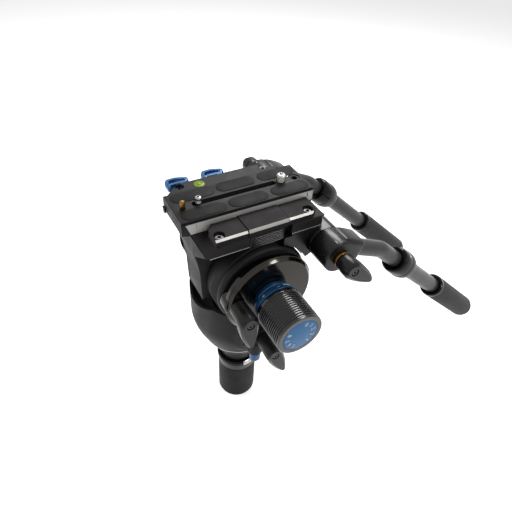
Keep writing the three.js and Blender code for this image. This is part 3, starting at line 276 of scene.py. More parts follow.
def finish_of(name, hue, roughness, metallic=0.0, specular=0.5, coat=0.0, grain=0.8, relief=0.02,
              patches=18, tone=0.14, gloss_change=0.07, edge=0.35, tool_marks=None):
    """Material with fine grain, slow patches of tone and gloss, and edges that catch the light.
    Hue names a colour of the property group. Grain, relief, patches and edge are in millimetres,
    and tool_marks holds their axis, pitch and centre."""
    known = bpy.data.materials.get(name)
    if known:
        return known
    material = bpy.data.materials.new(name)
    tree = node_tree_of(material)
    place = add(tree, "ShaderNodeTexCoord").outputs["Object"]
    fine = add(tree, "ShaderNodeTexNoise", {
        "Vector": place, "Scale": 1 / (grain * MILLIMETRE), "Detail": 3.0, "Roughness": 0.6,
    })
    slow = add(tree, "ShaderNodeTexNoise", {
        "Vector": place, "Scale": 1 / (patches * MILLIMETRE), "Detail": 4.0, "Roughness": 0.55,
    })
    base = tint(hue)[:3]
    dark = (*[c * (1 - tone) for c in base], 1.0)
    light = (*[min(1.0, c * (1 + tone)) for c in base], 1.0)
    shade = add(tree, "ShaderNodeMix", {0: slow.outputs["Fac"], 6: dark, 7: light}, data_type="RGBA")
    gloss = add(tree, "ShaderNodeMapRange", {
        "Value": slow.outputs["Fac"], "From Min": 0.3, "From Max": 0.7,
        "To Min": roughness - gloss_change, "To Max": roughness + gloss_change,
    })
    rounded = add(tree, "ShaderNodeBevel", {"Radius": edge * MILLIMETRE}, samples=4)
    bump = add(tree, "ShaderNodeBump", {
        "Strength": 0.6, "Distance": relief * MILLIMETRE,
        "Height": fine.outputs["Fac"], "Normal": rounded.outputs["Normal"],
    })
    if tool_marks:
        axis, pitch, centre = tool_marks
        at_centre = add(tree, "ShaderNodeMapping", {
            "Vector": place, "Location": tuple(-c * MILLIMETRE for c in centre),
        })
        kind = "RINGS" if axis.startswith("ring") else "BANDS"
        lines = add(tree, "ShaderNodeTexWave", {
            "Vector": at_centre.outputs["Vector"], "Scale": WAVE_SPACING / (pitch * MILLIMETRE),
            "Distortion": 0.4, "Detail": 1.0,
        }, wave_type=kind, rings_direction=axis[-1], bands_direction=axis[-1])
        bump = add(tree, "ShaderNodeBump", {
            "Strength": 0.35, "Distance": relief * MILLIMETRE,
            "Height": lines.outputs["Fac"], "Normal": bump.outputs["Normal"],
        })
    shader = add(tree, "ShaderNodeBsdfPrincipled", {
        "Base Color": shade.outputs[2], "Roughness": gloss.outputs["Result"],
        "Metallic": metallic, "Specular IOR Level": specular, "Coat Weight": coat,
        "Coat Roughness": 0.06, "Normal": bump.outputs["Normal"],
    })
    add(tree, "ShaderNodeOutputMaterial", {"Surface": shader.outputs["BSDF"]})
    return material


# Cast aluminium under fine black powder coat: soft highlights and a faint orange peel.
# Its real grain is about 0.2 mm, and it is drawn at 1.1 mm so that it shows.
def powder_coat():
    return finish_of("powder_coated_casting", "casting", 0.52, specular=0.13, grain=1.1, relief=0.03)


# Matte black of the jaws, which barely mirrors the bare plate beside them
def jaw_coat():
    return finish_of("matte_jaw_coat", "casting", 0.62, specular=0.08, grain=1.1, relief=0.03)


# Machined aluminium in satin black anodising: smooth, with a tighter highlight than the castings
def black_anodising():
    return finish_of(
        "black_anodised_aluminium", "anodised", 0.3, specular=0.22, grain=0.6, relief=0.008,
    )


# Turned and polished disc under black anodising: a mirror with fine turning rings round the tilt axis
def polished_anodising():
    return finish_of(
        "polished_black_aluminium", "polished", 0.12, metallic=0.9, grain=0.5, relief=0.004,
        patches=30, gloss_change=0.03, tone=0.06, tool_marks=("ring_X", 0.9, (0, *TILT_AXIS)),
    )


# Bare milled aluminium: bright, with cutter lines across it about 1.2 mm apart
def milled_aluminium():
    return finish_of(
        "milled_aluminium", "milled", 0.42, metallic=0.7, specular=0.3, relief=0.02, tone=0.07,
        tool_marks=("band_Y", 1.2, (0, 0, 0)),
    )


# Aluminium dyed blue: metal under a clear colour, satin
def blue_anodising():
    return finish_of(
        "blue_anodised_aluminium", "blue", 0.28, metallic=0.3, specular=0.35, grain=0.6, relief=0.006,
    )


# Blue moulded cap: plain satin plastic
def cap_plastic():
    return finish_of("blue_moulded_cap", "cap", 0.42, specular=0.15, grain=0.7, relief=0.006, tone=0.05)


# Printed ink: flat and matte
def marking_ink():
    return finish_of("white_marking_ink", "white", 0.6, grain=0.4, relief=0.002, tone=0.04)


# Soft moulded rubber of the bar grips: matte, a little uneven and dusty in patches
def grip_rubber():
    return finish_of(
        "matte_grip_rubber", "rubber", 0.7, specular=0.12, grain=1.4, relief=0.1, patches=25, tone=0.16,
    )


# Black rubber of the tie-down grip: as matte, and much darker, which is painted shade for the low grip that
# the lamps light less
def tie_down_rubber():
    return finish_of(
        "shaded_grip_rubber", "dark_rubber", 0.62, specular=0.15, grain=1.2, relief=0.08, tone=0.2,
    )


# Thin rubber sheet with a pressed fabric-like grain
def pad_rubber():
    return finish_of("rubber_pad_sheet", "pad", 0.62, specular=0.12, grain=1.0, relief=0.06)


# Injection-moulded ABS with a spark-eroded texture
def moulded_plastic():
    return finish_of("moulded_black_plastic", "moulded", 0.36, specular=0.22, grain=0.8, relief=0.02)


# Turned knob under hard black anodising: its ribs glint
def knob_metal():
    return finish_of(
        "black_anodised_knob", "moulded", 0.18, metallic=0.2, specular=0.7, coat=0.15, grain=0.5,
        relief=0.004,
    )


# Glossy moulded ring: near black, with a sharp highlight
def gloss_plastic():
    return finish_of("gloss_black_plastic", "gloss", 0.2, specular=0.12, grain=0.5, relief=0.004)


# Satin grey-black paint of the twist collars
def collar_paint():
    return finish_of("satin_collar_paint", "tube", 0.42, specular=0.3, grain=0.8, relief=0.015)


# Black-painted aluminium tube: smooth, with a soft gloss
def tube_paint():
    return finish_of("black_painted_tube", "tube", 0.34, specular=0.3, grain=0.9, relief=0.008)


# Nickel-plated steel: bright and smooth
def plated_steel():
    return finish_of(
        "nickel_plated_steel", "steel", 0.17, metallic=1.0, grain=0.5, relief=0.004,
        gloss_change=0.05, tone=0.05,
    )


# Blackened steel screws: dark metal with a tight glint
def black_steel():
    return finish_of("blackened_steel", "black_steel", 0.22, metallic=1.0, grain=0.4, relief=0.004)


# Turned brass, lightly tarnished
def turned_brass():
    return finish_of("turned_brass", "brass", 0.25, metallic=1.0, grain=0.5, relief=0.006)


# Clear acrylic vial filled with yellow-green liquid: bright, and glossy only where the light hits it
def level_vial():
    return finish_of("level_liquid", "level", 0.3, specular=0.2, grain=3.0, relief=0.002, tone=0.1)


# Clear rim of the vial, pale with the liquid behind it
def level_rim():
    return finish_of(
        "level_clear_rim", "level_rim", 0.45, specular=0.1, grain=2.0, relief=0.002, tone=0.08,
    )


# Air bubble: the liquid's colour at its brightest
def level_glow():
    return finish_of(
        "level_bubble_light", "level_bubble", 0.35, specular=0.15, grain=2.0, relief=0.002, tone=0.05,
    )


# Solids in mesh code

PLACES = {
    "X": lambda u, v, w: (w, u, v),
    "Y": lambda u, v, w: (u, w, v),
    "Z": lambda u, v, w: (u, v, w),
}


def shown(name, data):
    """New object in the scene that holds the data"""
    piece = bpy.data.objects.new(name, data)
    bpy.context.scene.collection.objects.link(piece)
    return piece


def painted(piece, material):
    """Gives the whole piece one material"""
    piece.data.materials.clear()
    piece.data.materials.append(material)
    return piece


def around(centre, radius, angle):
    """Point on a circle, at an angle in degrees"""
    turn = math.radians(angle)
    return centre[0] + radius * math.cos(turn), centre[1] + radius * math.sin(turn)


def arc(centre, radius, first, last, steps):
    """Points on a circle from the first to the last angle"""
    return [around(centre, radius, first + (last - first) * step / steps) for step in range(steps + 1)]


def bow(start, pull, end, steps):
    """Points on a curve from start to end that is drawn towards pull"""
    points = []
    for step in range(steps + 1):
        t = step / steps
        points.append(tuple(
            a * (1 - t) ** 2 + b * 2 * t * (1 - t) + c * t ** 2 for a, b, c in zip(start, pull, end)
        ))
    return points


def stock(mesh):
    """Object made from a closed bmesh, with its faces turned outwards"""
    bmesh.ops.recalc_face_normals(mesh, faces=mesh.faces)
    data = bpy.data.meshes.new("stock")
    mesh.to_mesh(data)
    mesh.free()
    return shown("stock", data)


def skinned(rows):
    """Closed solid over rows that have as many points each"""
    mesh = bmesh.new()
    rows = [[mesh.verts.new(point) for point in row] for row in rows]
    mesh.faces.new(rows[0])
    mesh.faces.new(rows[-1])
    for low, high in zip(rows, rows[1:]):
        for i in range(len(low)):
            mesh.faces.new((low[i - 1], low[i], high[i], high[i - 1]))
    return stock(mesh)


def eased(points, radius, closed, steps=4, least=20):
    """Rounds the corners of an outline, each as far as its neighbours leave room"""
    points = [Vector(point) for point in points]
    result = []
    for i, corner in enumerate(points):
        back = points[i - 1] - corner
        ahead = points[(i + 1) % len(points)] - corner
        turn = math.pi - back.angle(ahead, math.pi)
        if turn < math.radians(least) or not closed and i in (0, len(points) - 1):
            result.append(tuple(corner))
            continue
        reach = min(radius * math.tan(turn / 2), back.length * CORNER_SHARE, ahead.length * CORNER_SHARE)
        result += bow(corner + back.normalized() * reach, corner, corner + ahead.normalized() * reach, steps)
    return result


def turned(profile, axis="Z", at=(0, 0), ring=False, ease=0.0, sides=None):
    """Solid turned from [radius, height] pairs about a line along the axis through at"""
    sides = sides or settings().round_sides
    if ease:
        profile = eased(profile, ease, ring)
    place = PLACES[axis]
    mesh = bmesh.new()
    rows = []
    for radius, height in profile:
        on_axis = radius < 1e-6
        rows.append([
            mesh.verts.new(place(*around(at, radius, 360 * i / sides), height))
            for i in range(1 if on_axis else sides)
        ])
    for low, high in zip(rows, rows[1:] + rows[:1] if ring else rows[1:]):
        for i in range(sides):
            j = (i + 1) % sides
            corners = [low[i % len(low)], low[j % len(low)], high[j % len(high)], high[i % len(high)]]
            corners = [*dict.fromkeys(corners)]
            if len(corners) > 2:
                mesh.faces.new(corners)
    return stock(mesh)


def rod(radius, start, end, axis="Z", at=(0, 0), ease=0.0, sides=None):
    return turned([(0, start), (radius, start), (radius, end), (0, end)], axis, at, ease=ease, sides=sides)


def sleeve(outer, inner, start, end, axis="Z", at=(0, 0), ease=0.0):
    profile = [(inner, start), (outer, start), (outer, end), (inner, end)]
    return turned(profile, axis, at, ring=True, ease=ease)


def prism(points, start, end, axis="Z", ease=0.0):
    """Outline raised along an axis"""
    place = PLACES[axis]
    outline = eased(points, ease, True) if ease else points
    return skinned([[place(u, v, level) for u, v in outline] for level in (start, end)])


def block(x, y, z):
    return prism([(x[0], y[0]), (x[1], y[0]), (x[1], y[1]), (x[0], y[1])], *z)


def stadium(x, y, wide, long, steps=16):
    """Outline with round ends along Y"""
    radius = wide / 2
    reach = long / 2 - radius
    return [*arc((x, y + reach), radius, 0, 180, steps), *arc((x, y - reach), radius, 180, 360, steps)]


def swept(path, radius, sides=48):
    """Round bar along points that share one X"""
    rows = []
    for i, point in enumerate(path):
        ahead = (path[min(i + 1, len(path) - 1)] - path[max(i - 1, 0)]).normalized()
        across = Vector((1, 0, 0))
        upwards = ahead.cross(across)
        ring = arc((0, 0), radius, 0, 360, sides)[:-1]
        rows.append([point + across * u + upwards * v for u, v in ring])
    return skinned(rows)


def crowned(outline, levels):
    """Outline raised along X through levels, each drawn in to its share of the width.
    Along its length it is drawn in less."""
    length_share = 0.4
    return skinned([
        [(x, y * share, z * (1 - length_share * (1 - share))) for y, z in outline]
        for x, share in levels
    ])


def settled_mesh(piece):
    """Plain mesh that a text, or a piece with modifiers, gives"""
    evaluated = piece.evaluated_get(bpy.context.evaluated_depsgraph_get())
    return bpy.data.meshes.new_from_object(evaluated)


def settled(piece):
    """Turns a piece with modifiers into the plain mesh that they give"""
    mesh = settled_mesh(piece)
    piece.modifiers.clear()
    piece.data = mesh
    return piece


def scrapped(pieces):
    for piece in pieces:
        bpy.data.objects.remove(piece)


def machined(piece, tools, operation="DIFFERENCE"):
    for tool in tools:
        step = piece.modifiers.new("machining", "BOOLEAN")
        step.operation, step.object, step.solver = operation, tool, "MANIFOLD"
    settled(piece)
    scrapped(tools)
    return piece


def cut(piece, *tools):
    return machined(piece, tools)


def fused(piece, *others):
    return machined(piece, others, "UNION")


def shared(piece, other):
    return machined(piece, [other], "INTERSECT")


def softened(piece, width, segments=3, angle=40):
    """Rounds the edges of a solid that are sharper than the angle"""
    step = piece.modifiers.new("edges", "BEVEL")
    step.width, step.segments, step.limit_method = width, segments, "ANGLE"
    step.angle_limit = math.radians(angle)
    return settled(piece)


def moved(piece, matrix):
    piece.data.transform(matrix)
    if matrix.determinant() < 0:
        mesh = bmesh.new()
        mesh.from_mesh(piece.data)
        bmesh.ops.recalc_face_normals(mesh, faces=mesh.faces)
        mesh.to_mesh(piece.data)
        mesh.free()
    return piece


def other_side(piece):
    return moved(piece, Matrix.Scale(-1, 4, (1, 0, 0)))


def repainted(piece, material, test):
    """Gives the faces whose centre and normal pass the test a material of their own"""
    piece.data.materials.append(material)
    index = len(piece.data.materials) - 1
    for face in piece.data.polygons:
        if test(face.center, face.normal):
            face.material_index = index
    return piece


def fitted(piece, name, node, material=None, smooth=35):
    """Finishes a piece that moves with the body of the node: names it and shades it"""
    if material:
        painted(piece, material)
    mesh = piece.data
    mesh.transform(Matrix.Scale(MILLIMETRE, 4))
    mesh.shade_smooth()
    mesh.set_sharp_from_angle(angle=math.radians(smooth))
    mesh.name = piece.name = name
    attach(piece, body_of[node])
    return piece


def standing_for(piece, node, material=None, smooth=35):
    """Finishes a piece that is shown in place of the node"""
    fitted(piece, node + "_finished", node, material, smooth)
    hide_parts(node)
    return piece


# Repeats by Geometry Nodes

def repeat_tree(name, sockets):
    """Empty node tree with its named inputs, its group nodes and its output"""
    tree = bpy.data.node_groups.new(name, "GeometryNodeTree")
    tree.interface.new_socket("Geometry", in_out="INPUT", socket_type="NodeSocketGeometry")
    for label, kind in sockets:
        tree.interface.new_socket(label, in_out="INPUT", socket_type=kind)
    tree.interface.new_socket("Geometry", in_out="OUTPUT", socket_type="NodeSocketGeometry")
    return tree, add(tree, "NodeGroupInput").outputs


def closed_tree(tree, instances, material):
    real = add(tree, "GeometryNodeRealizeInstances", {"Geometry": instances})
    coated = add(tree, "GeometryNodeSetMaterial", {"Geometry": real.outputs[0], "Material": material})
    add(tree, "NodeGroupOutput", {"Geometry": coated.outputs[0]})
    return tree


def line_of_blocks_tree():
    """Small blocks in a line: scale marks, ticks and the ribs of the button"""
    tree, given = repeat_tree("line_of_blocks", [
        ("Blocks", "NodeSocketInt"), ("Start", "NodeSocketVector"), ("Step", "NodeSocketVector"),
        ("Block Size", "NodeSocketVector"), ("Material", "NodeSocketMaterial"),
    ])
    shape = add(tree, "GeometryNodeMeshCube", {"Size": given["Block Size"]})
    line = add(tree, "GeometryNodeMeshLine", {
        "Count": given["Blocks"], "Start Location": given["Start"], "Offset": given["Step"],
    })
    row = add(tree, "GeometryNodeInstanceOnPoints", {
        "Points": line.outputs["Mesh"], "Instance": shape.outputs["Mesh"],
    })
    return closed_tree(tree, row.outputs["Instances"], given["Material"])


def round_ribs_tree():
    """Round ribs, one after the other along X, about a line through Axis Y and Axis Z"""
    tree, given = repeat_tree("round_ribs", [
        ("Ribs", "NodeSocketInt"), ("Ring Radius", "NodeSocketFloat"), ("Rib Radius", "NodeSocketFloat"),
        ("Start", "NodeSocketVector"), ("Pitch", "NodeSocketVector"), ("Turn", "NodeSocketVector"),
        ("Material", "NodeSocketMaterial"),
    ])
    ring, section = (
        add(tree, "GeometryNodeCurvePrimitiveCircle", {"Resolution": sides, "Radius": given[radius]})
        for sides, radius in ((96, "Ring Radius"), (10, "Rib Radius"))
    )
    rib = add(tree, "GeometryNodeCurveToMesh", {
        "Curve": ring.outputs["Curve"], "Profile Curve": section.outputs["Curve"],
    })
    smooth = add(tree, "GeometryNodeSetShadeSmooth", {"Geometry": rib.outputs["Mesh"]})
    line = add(tree, "GeometryNodeMeshLine", {
        "Count": given["Ribs"], "Start Location": given["Start"], "Offset": given["Pitch"],
    })
    turn = add(tree, "FunctionNodeEulerToRotation", {"Euler": given["Turn"]})
    ribs = add(tree, "GeometryNodeInstanceOnPoints", {
        "Points": line.outputs["Mesh"], "Instance": smooth.outputs["Geometry"],
        "Rotation": turn.outputs["Rotation"],
    })
    return closed_tree(tree, ribs.outputs["Instances"], given["Material"])


def socket_screws_tree():
    """Socket-head screws on the points of a mesh, each along the point's axis attribute"""
    tree, given = repeat_tree("socket_screws", [
        ("Head Radius", "NodeSocketFloat"), ("Head Height", "NodeSocketFloat"),
        ("Socket Radius", "NodeSocketFloat"), ("Material", "NodeSocketMaterial"),
    ])
    head = add(tree, "GeometryNodeMeshCone", {
        "Vertices": 32, "Side Segments": 1, "Fill Segments": 1,
        "Radius Top": given["Head Radius"], "Radius Bottom": given["Head Radius"],
        "Depth": given["Head Height"],
    })
    hexagon = add(tree, "GeometryNodeMeshCylinder", {
        "Vertices": 6, "Radius": given["Socket Radius"], "Depth": given["Head Height"],
    })
    lift = add(tree, "ShaderNodeMath", {0: given["Head Height"], 1: 0.9}, operation="MULTIPLY")
    raised = add(tree, "ShaderNodeCombineXYZ", {"Z": lift.outputs[0]})
    placed = add(tree, "GeometryNodeTransform", {
        "Geometry": hexagon.outputs["Mesh"], "Translation": raised.outputs["Vector"],
    })
    screw = add(tree, "GeometryNodeMeshBoolean", {
        "Mesh 1": head.outputs["Mesh"], "Mesh 2": placed.outputs["Geometry"],
    }, operation="DIFFERENCE")
    axis = add(tree, "GeometryNodeInputNamedAttribute", {"Name": "axis"}, data_type="FLOAT_VECTOR")
    turn = add(tree, "FunctionNodeAlignRotationToVector", {"Vector": axis.outputs["Attribute"]}, axis="Z")
    placed_screws = add(tree, "GeometryNodeInstanceOnPoints", {
        "Points": given["Geometry"], "Instance": screw.outputs["Mesh"], "Rotation": turn.outputs["Rotation"],
    })
    return closed_tree(tree, placed_screws.outputs["Instances"], given["Material"])


def repeated(tree_maker, name, node, values, points=(), smooth=35):
    """Bakes a Geometry Nodes tree to a plain mesh that moves with the body of the node.
    Values are in millimetres, and lengths among them are turned to metres here."""
    tree = bpy.data.node_groups.get(tree_maker.__name__.removesuffix("_tree")) or tree_maker()
    mesh = bpy.data.meshes.new(name)
    mesh.from_pydata([Vector(place) * MILLIMETRE for place, _ in points], [], [])
    axes = mesh.attributes.new("axis", "FLOAT_VECTOR", "POINT")
    for i, (_, axis) in enumerate(points):
        axes.data[i].vector = axis
    piece = shown(name, mesh)
    repeat = piece.modifiers.new("repeat", "NODES")
    repeat.node_group = tree
    inputs = {item.name: item for item in tree.interface.items_tree if item.in_out == "INPUT"}
    for label, value in values.items():
        socket = inputs[label]
        if socket.socket_type == "NodeSocketFloat":
            value = value * MILLIMETRE
        if socket.socket_type == "NodeSocketVector" and label != "Turn":
            value = tuple(c * MILLIMETRE for c in value)
        repeat[socket.identifier] = value
    settled(piece)
    piece.data.transform(Matrix.Scale(1 / MILLIMETRE, 4))
    return fitted(piece, name, node, smooth=smooth)


def screws(name, node, points, head=None, height=1.6, socket=None, material=None):
    return repeated(socket_screws_tree, name, node, {
        "Head Radius": head or size("screw_head"), "Head Height": height,
        "Socket Radius": socket or size("screw_socket"), "Material": material or black_steel(),
    }, points)


def blocks(name, node, start, count, step, box, material):
    return repeated(line_of_blocks_tree, name, node, {
        "Blocks": count, "Start": start, "Step": step, "Block Size": box, "Material": material,
    })


# Base and tie-down

def bowl_seat():
    """Half-ball, hollow round the stud, with a thin flange whose edge carries a ring of milled aluminium as a
    painted highlight
    """
    radius, depth = 37.5, 30.0
    flange, top = 43.2, 2.5
    ball = arc((0, 0), radius, -math.degrees(math.asin(depth / radius)), 0, 20)
    seat = turned([
        (0, -8), (TIE_DOWN_BORE, -8), (TIE_DOWN_BORE, -depth), *ball, (flange, 0), (flange, top), (0, top),
    ], ease=0.3)
    standing_for(seat, "base_half_ball", powder_coat())
    # Ring of milled aluminium on the flange's edge: a painted highlight
    edge = sleeve(flange + 0.1, flange - 0.5, 0.25, top - 0.4, ease=0.1)
    fitted(edge, "flange_bright_edge", "base_half_ball", milled_aluminium())


def tie_down():
    """Washer, polished collar with its lip and a painted reflection on the lip in plated steel, and the long
    rubber grip
    """
    bore = TIE_DOWN_BORE
    standing_for(sleeve(22, bore, -45.7, -30.3, ease=1.2), "clamp_washer", moulded_plastic())
    collar = turned([
        (bore, -63.0), (25.2, -63.0), (25.2, -54.4), (26.2, -53.6), (26.2, -52.6), (bore, -52.6),
    ], ring=True, ease=0.5)
    standing_for(collar, "tie_down_collar", collar_paint())
    lip = turned([
        (bore, -52.6), (26.6, -52.6), (26.6, -47.6), (24.8, -46), (bore, -46),
    ], ring=True, ease=0.6)
    painted(lip, gloss_plastic())
    # The radius and the two angles below bound a patch of plated steel on the lip: a painted reflection, not
    # a part
    reflection_patch_inside, clip_start, clip_end = 20, -0.12, 0.33
    repainted(lip, plated_steel(), lambda centre, normal: (
        centre.xy.length > reflection_patch_inside and clip_start < math.atan2(centre.y, centre.x) < clip_end
    ))
    fitted(lip, "tie_down_lip", "tie_down_collar")
    grip = turned([
        (0, -129), (19, -129), (23.4, -127.6), (25, -123.5), (25, -64.4), (24.2, -63.3), (bore, -63.3),
        (bore, -105.3), (0, -105.3),
    ], ease=1.2)
    standing_for(grip, "tie_down_grip", tie_down_rubber())


# Pan housing

def round_cheek():
    """Near cheek of the housing, kept inside the outline of the cup"""
    disc = softened(rod(CHEEK_RADIUS, CHEEK_START, CHEEK_END, "X", TILT_AXIS), 1.6, 4)
    return shared(disc, rod(CUP_RADIUS - 0.2, 60, 175, sides=FINE_SIDES))


def pan_housing():
    """Cup with a saddle for a rim, two round cheeks, flattened sides and the boss of the pan lock"""
    low, top = 2.8, 92
    rim, saddle_end, saddle_low = 78.8, 84.8, 74.8
    cup_side = bow((43, low), (CUP_RADIUS, 25), (CUP_RADIUS, 45), 14)
    cup = turned([(0, low), *cup_side, (CUP_RADIUS, top), (0, top)], sides=FINE_SIDES)
    saddle = bow((-32, saddle_end), (0, 2 * saddle_low - saddle_end), (32, saddle_end), 24)
    above_rim = prism([
        (-PAST_CUP, rim), *saddle, (PAST_CUP, rim), (PAST_CUP, 100), (-PAST_CUP, 100),
    ], -PAST_CUP, PAST_CUP, "Y")
    height = (-5, 100)
    flat = ((48.5, PAST_CUP), (-PAST_CUP, PAST_CUP), height)
    corners = [
        moved(block((55.6, 66), (-30, 30), height), Matrix.Rotation(math.radians(turn), 4, "Z"))
        for turn in (23.6, 156.4, 203.6, -23.6)
    ]
    mouth = rod(53.8, 69.8, 95, sides=FINE_SIDES)
    cut(cup, above_rim, mouth, block(*flat), other_side(block(*flat)), *corners)

    boss_radius = 10
    boss = softened(rod(boss_radius, 37, 56, "X", PAN_LOCK), 0.8)
    post = turned([
        (0, 2.9), (7.4, 2.9), (8.4, 4.2), (8.4, 22), (6.5, 27), (0, 29),
    ], at=DIAL_PLACE, ease=1)
    fused(cup, round_cheek(), other_side(round_cheek()), boss, post)

    cover_seat = CHEEK_RADIUS - 0.5
    near_seat = rod(cover_seat, CHEEK_END, 120, "X", TILT_AXIS)
    cut(near_seat, rod(boss_radius, 0, PAST_CUP, "X", PAN_LOCK))
    far_seat = rod(cover_seat, -120, -CHEEK_END, "X", TILT_AXIS)
    axle_room = turned([
        (0, -6), (30, -6), (30, 19.7), (9.3, 19.7), (9.3, 34.0), (12.8, 34.0), (12.8, 69.8), (0, 69.8),
    ])
    cut(
        cup, rod(62, -CHEEK_START, CHEEK_START, "X", TILT_AXIS, sides=FINE_SIDES), near_seat, far_seat,
        axle_room, rod(AXLE_BORE, -PAST_CUP, PAST_CUP, "X", TILT_AXIS),
        rod(27, 23.4, PAST_CUP, "X", TILT_AXIS), rod(18.2, -PAST_CUP, -23.1, "X", TILT_AXIS),
        rod(TILT_LOCK_BORE, 0, PAST_CUP, "X", TILT_LOCK), rod(STUD_BORE, 12.5, PAST_CUP, "X", PAN_LOCK),
        rod(2.5, -6, 11.8, at=DIAL_PLACE),
    )
    standing_for(cup, "pan_housing", powder_coat(), smooth=28)


def bearing_covers():
    """Round covers on the two cheeks, and the cap on the hidden far side"""
    def cover(spigot):
        return turned([
            (AXLE_BORE, 40.7), (spigot, 40.7), (spigot, 43.3), (50.5, 43.3), (50.5, 46.4), (49.6, 48.6),
            (47.8, 50.2), (44.8, 51), (AXLE_BORE, 51),
        ], "X", TILT_AXIS, ring=True, ease=0.7)

    near = cut(cover(26.7), rod(TILT_LOCK_BORE, 20, 70, "X", TILT_LOCK))
    standing_for(near, "near_bearing_cover", powder_coat())
    standing_for(other_side(cover(16)), "far_bearing_cover", powder_coat())
    cap = turned([
        (0, 51.3), (40, 51.3), (40, 57.3), (50, 57.3), (50, 60.3), (46, 62.3), (22, 62.3), (21, 61.6),
        (0, 61.6),
    ], "X", TILT_AXIS, ease=0.6)
    standing_for(other_side(cap), "far_side_cap", black_anodising())
    screws("far_cap_screws", "far_side_cap", [
        ((-62.0, *around(TILT_AXIS, 34, math.degrees(turn))), (-1, 0, 0)) for turn in (0.5, 2.6, 4.7)
    ])


# Side cover, ring and knob

def side_cover():
    """Polished disc with the ear that carries the tilt lock"""
    start, bore = 51.3, SHAFT_BORE
    disc = turned([
        (bore, start), (40, start), (40, 57.3), (48.2, 57.3), (49, 58.1), (49, 62.4), (48.0, 62.6),
        (48.0, 63.2), (45.6, 65.7), (44.8, 66), (13, 66), (13, 79.9), (bore, 79.9),
    ], "X", TILT_AXIS, ring=True, ease=0.35)
    fused(disc, softened(rod(12.5, start, 63.7, "X", TILT_LOCK), 1.6, 4))
    cut(disc, rod(TILT_LOCK_BORE, 20, 70, "X", TILT_LOCK))
    standing_for(disc, "near_side_cover", polished_anodising())


def drag_ring():
    """Blue ring with a flared face that carries a plus, a minus and a wedge between them"""
    ring = turned([
        (13.3, 66.3), (20.6, 66.3), (21.3, 70.4), (20.8, 71.2), (20.8, 72.2), *RING_FLARE, (24.5, 80.2),
        (13.3, 80.2),
    ], "X", TILT_AXIS, ring=True, ease=0.35)
    standing_for(ring, "tilt_drag_ring", blue_anodising())
    plus = fused(ring_stroke(132, 0), ring_stroke(132, 90))
    fitted(plus, "drag_ring_plus", "tilt_drag_ring", marking_ink())
    fitted(ring_stroke(88, 90), "drag_ring_minus", "tilt_drag_ring", marking_ink())
    band = turned([(22.9, 73.9), (23.15, 73.86), (23.75, 75.9), (23.5, 75.95)], "X", TILT_AXIS, ring=True)
    corners = [around(TILT_AXIS, reach, turn) for reach, turn in ((10, 60), (40, 46), (40, 78))]
    wedge = shared(band, prism(corners, 60, 90, "X"))
    fitted(wedge, "drag_ring_wedge", "tilt_drag_ring", marking_ink())


def ring_stroke(turn, spin):
    """Thin stroke printed on the flared face of the drag ring"""
    half_length, half_width, half_depth = 1.6, size("mark_width") / 2, 0.08
    stroke = block((-half_length, half_length), (-half_width, half_width), (-half_depth, half_depth))
    (inner, start), (outer, end) = RING_FLARE
    flare = math.atan2(outer - inner, end - start)
    return moved(stroke, (
        Matrix.Translation((0, *TILT_AXIS)) @ Matrix.Rotation(math.radians(turn - 90), 4, "X")
        @ Matrix.Translation((76.2, 0, 23.42)) @ Matrix.Rotation(-flare, 4, "Y")
        @ Matrix.Rotation(math.radians(spin), 4, "Z")
    ))


def side_knob():
    """Turned knob with round ribs one after the other, and its blue cap"""
    outside, core_radius, rib = KNOB_RADIUS, 23.7, size("knob_rib")
    core = turned([
        (0, 120.4), (0, 110.8), (SHAFT_BORE, 110.8), (SHAFT_BORE, 80.5), (24.0, 80.5), (outside, 81.3),
        (outside, 85.0), (core_radius, 85.6), (core_radius, 119.6), (24.7, 120.2), (24.7, 121.0),
        (23.8, KNOB_FACE), (19.2, KNOB_FACE), (19.2, 120.4),
    ], "X", TILT_AXIS, ring=True, ease=0.3)
    standing_for(core, "counterbalance_knob", knob_metal())
    repeated(round_ribs_tree, "knob_ribs", "counterbalance_knob", {
        "Ribs": settings().knob_ribs, "Ring Radius": outside - rib, "Rib Radius": rib,
        "Start": (86.9, *TILT_AXIS), "Pitch": (size("knob_rib_pitch"), 0, 0),
        "Turn": (0, math.pi / 2, 0), "Material": knob_metal(),
    })
    cap = turned([
        (0, 120.7), (18.9, 120.7), (18.9, KNOB_FACE), (18.2, CAP_FACE - 0.05), (0, CAP_FACE),
    ], "X", TILT_AXIS, ease=0.15)
    standing_for(cap, "knob_cap", cap_plastic())


def numerals():
    """Plain numbers in two arcs on the cap, each upright towards the rim"""
    facing = Matrix(((0, 0, 1, 0), (1, 0, 0, 0), (0, 1, 0, 0), (0, 0, 0, 1)))
    whole = bmesh.new()
    for number, turn in enumerate(NUMERAL_TURNS):
        text = bpy.data.curves.new("numeral", "FONT")
        text.body, text.size = str(number), size("numeral_height")
        text.extrude, text.offset = 0.06, 0.12
        text.align_x, text.align_y = "CENTER", "CENTER"
        lettered = settled_mesh(shown("numeral", text))
        place = Matrix.Translation((CAP_FACE, *around(TILT_AXIS, size("numeral_ring"), turn)))
        lettered.transform(place @ Matrix.Rotation(math.radians(turn - 90), 4, "X") @ facing)
        whole.from_mesh(lettered)
        bpy.data.meshes.remove(lettered)
    bpy.data.batch_remove([piece for piece in bpy.data.objects if piece.type == "FONT"])
    data = bpy.data.meshes.new("numerals")
    whole.to_mesh(data)
    whole.free()
    fitted(shown("numerals", data), "knob_cap_numerals", "knob_cap", marking_ink())


# Levers

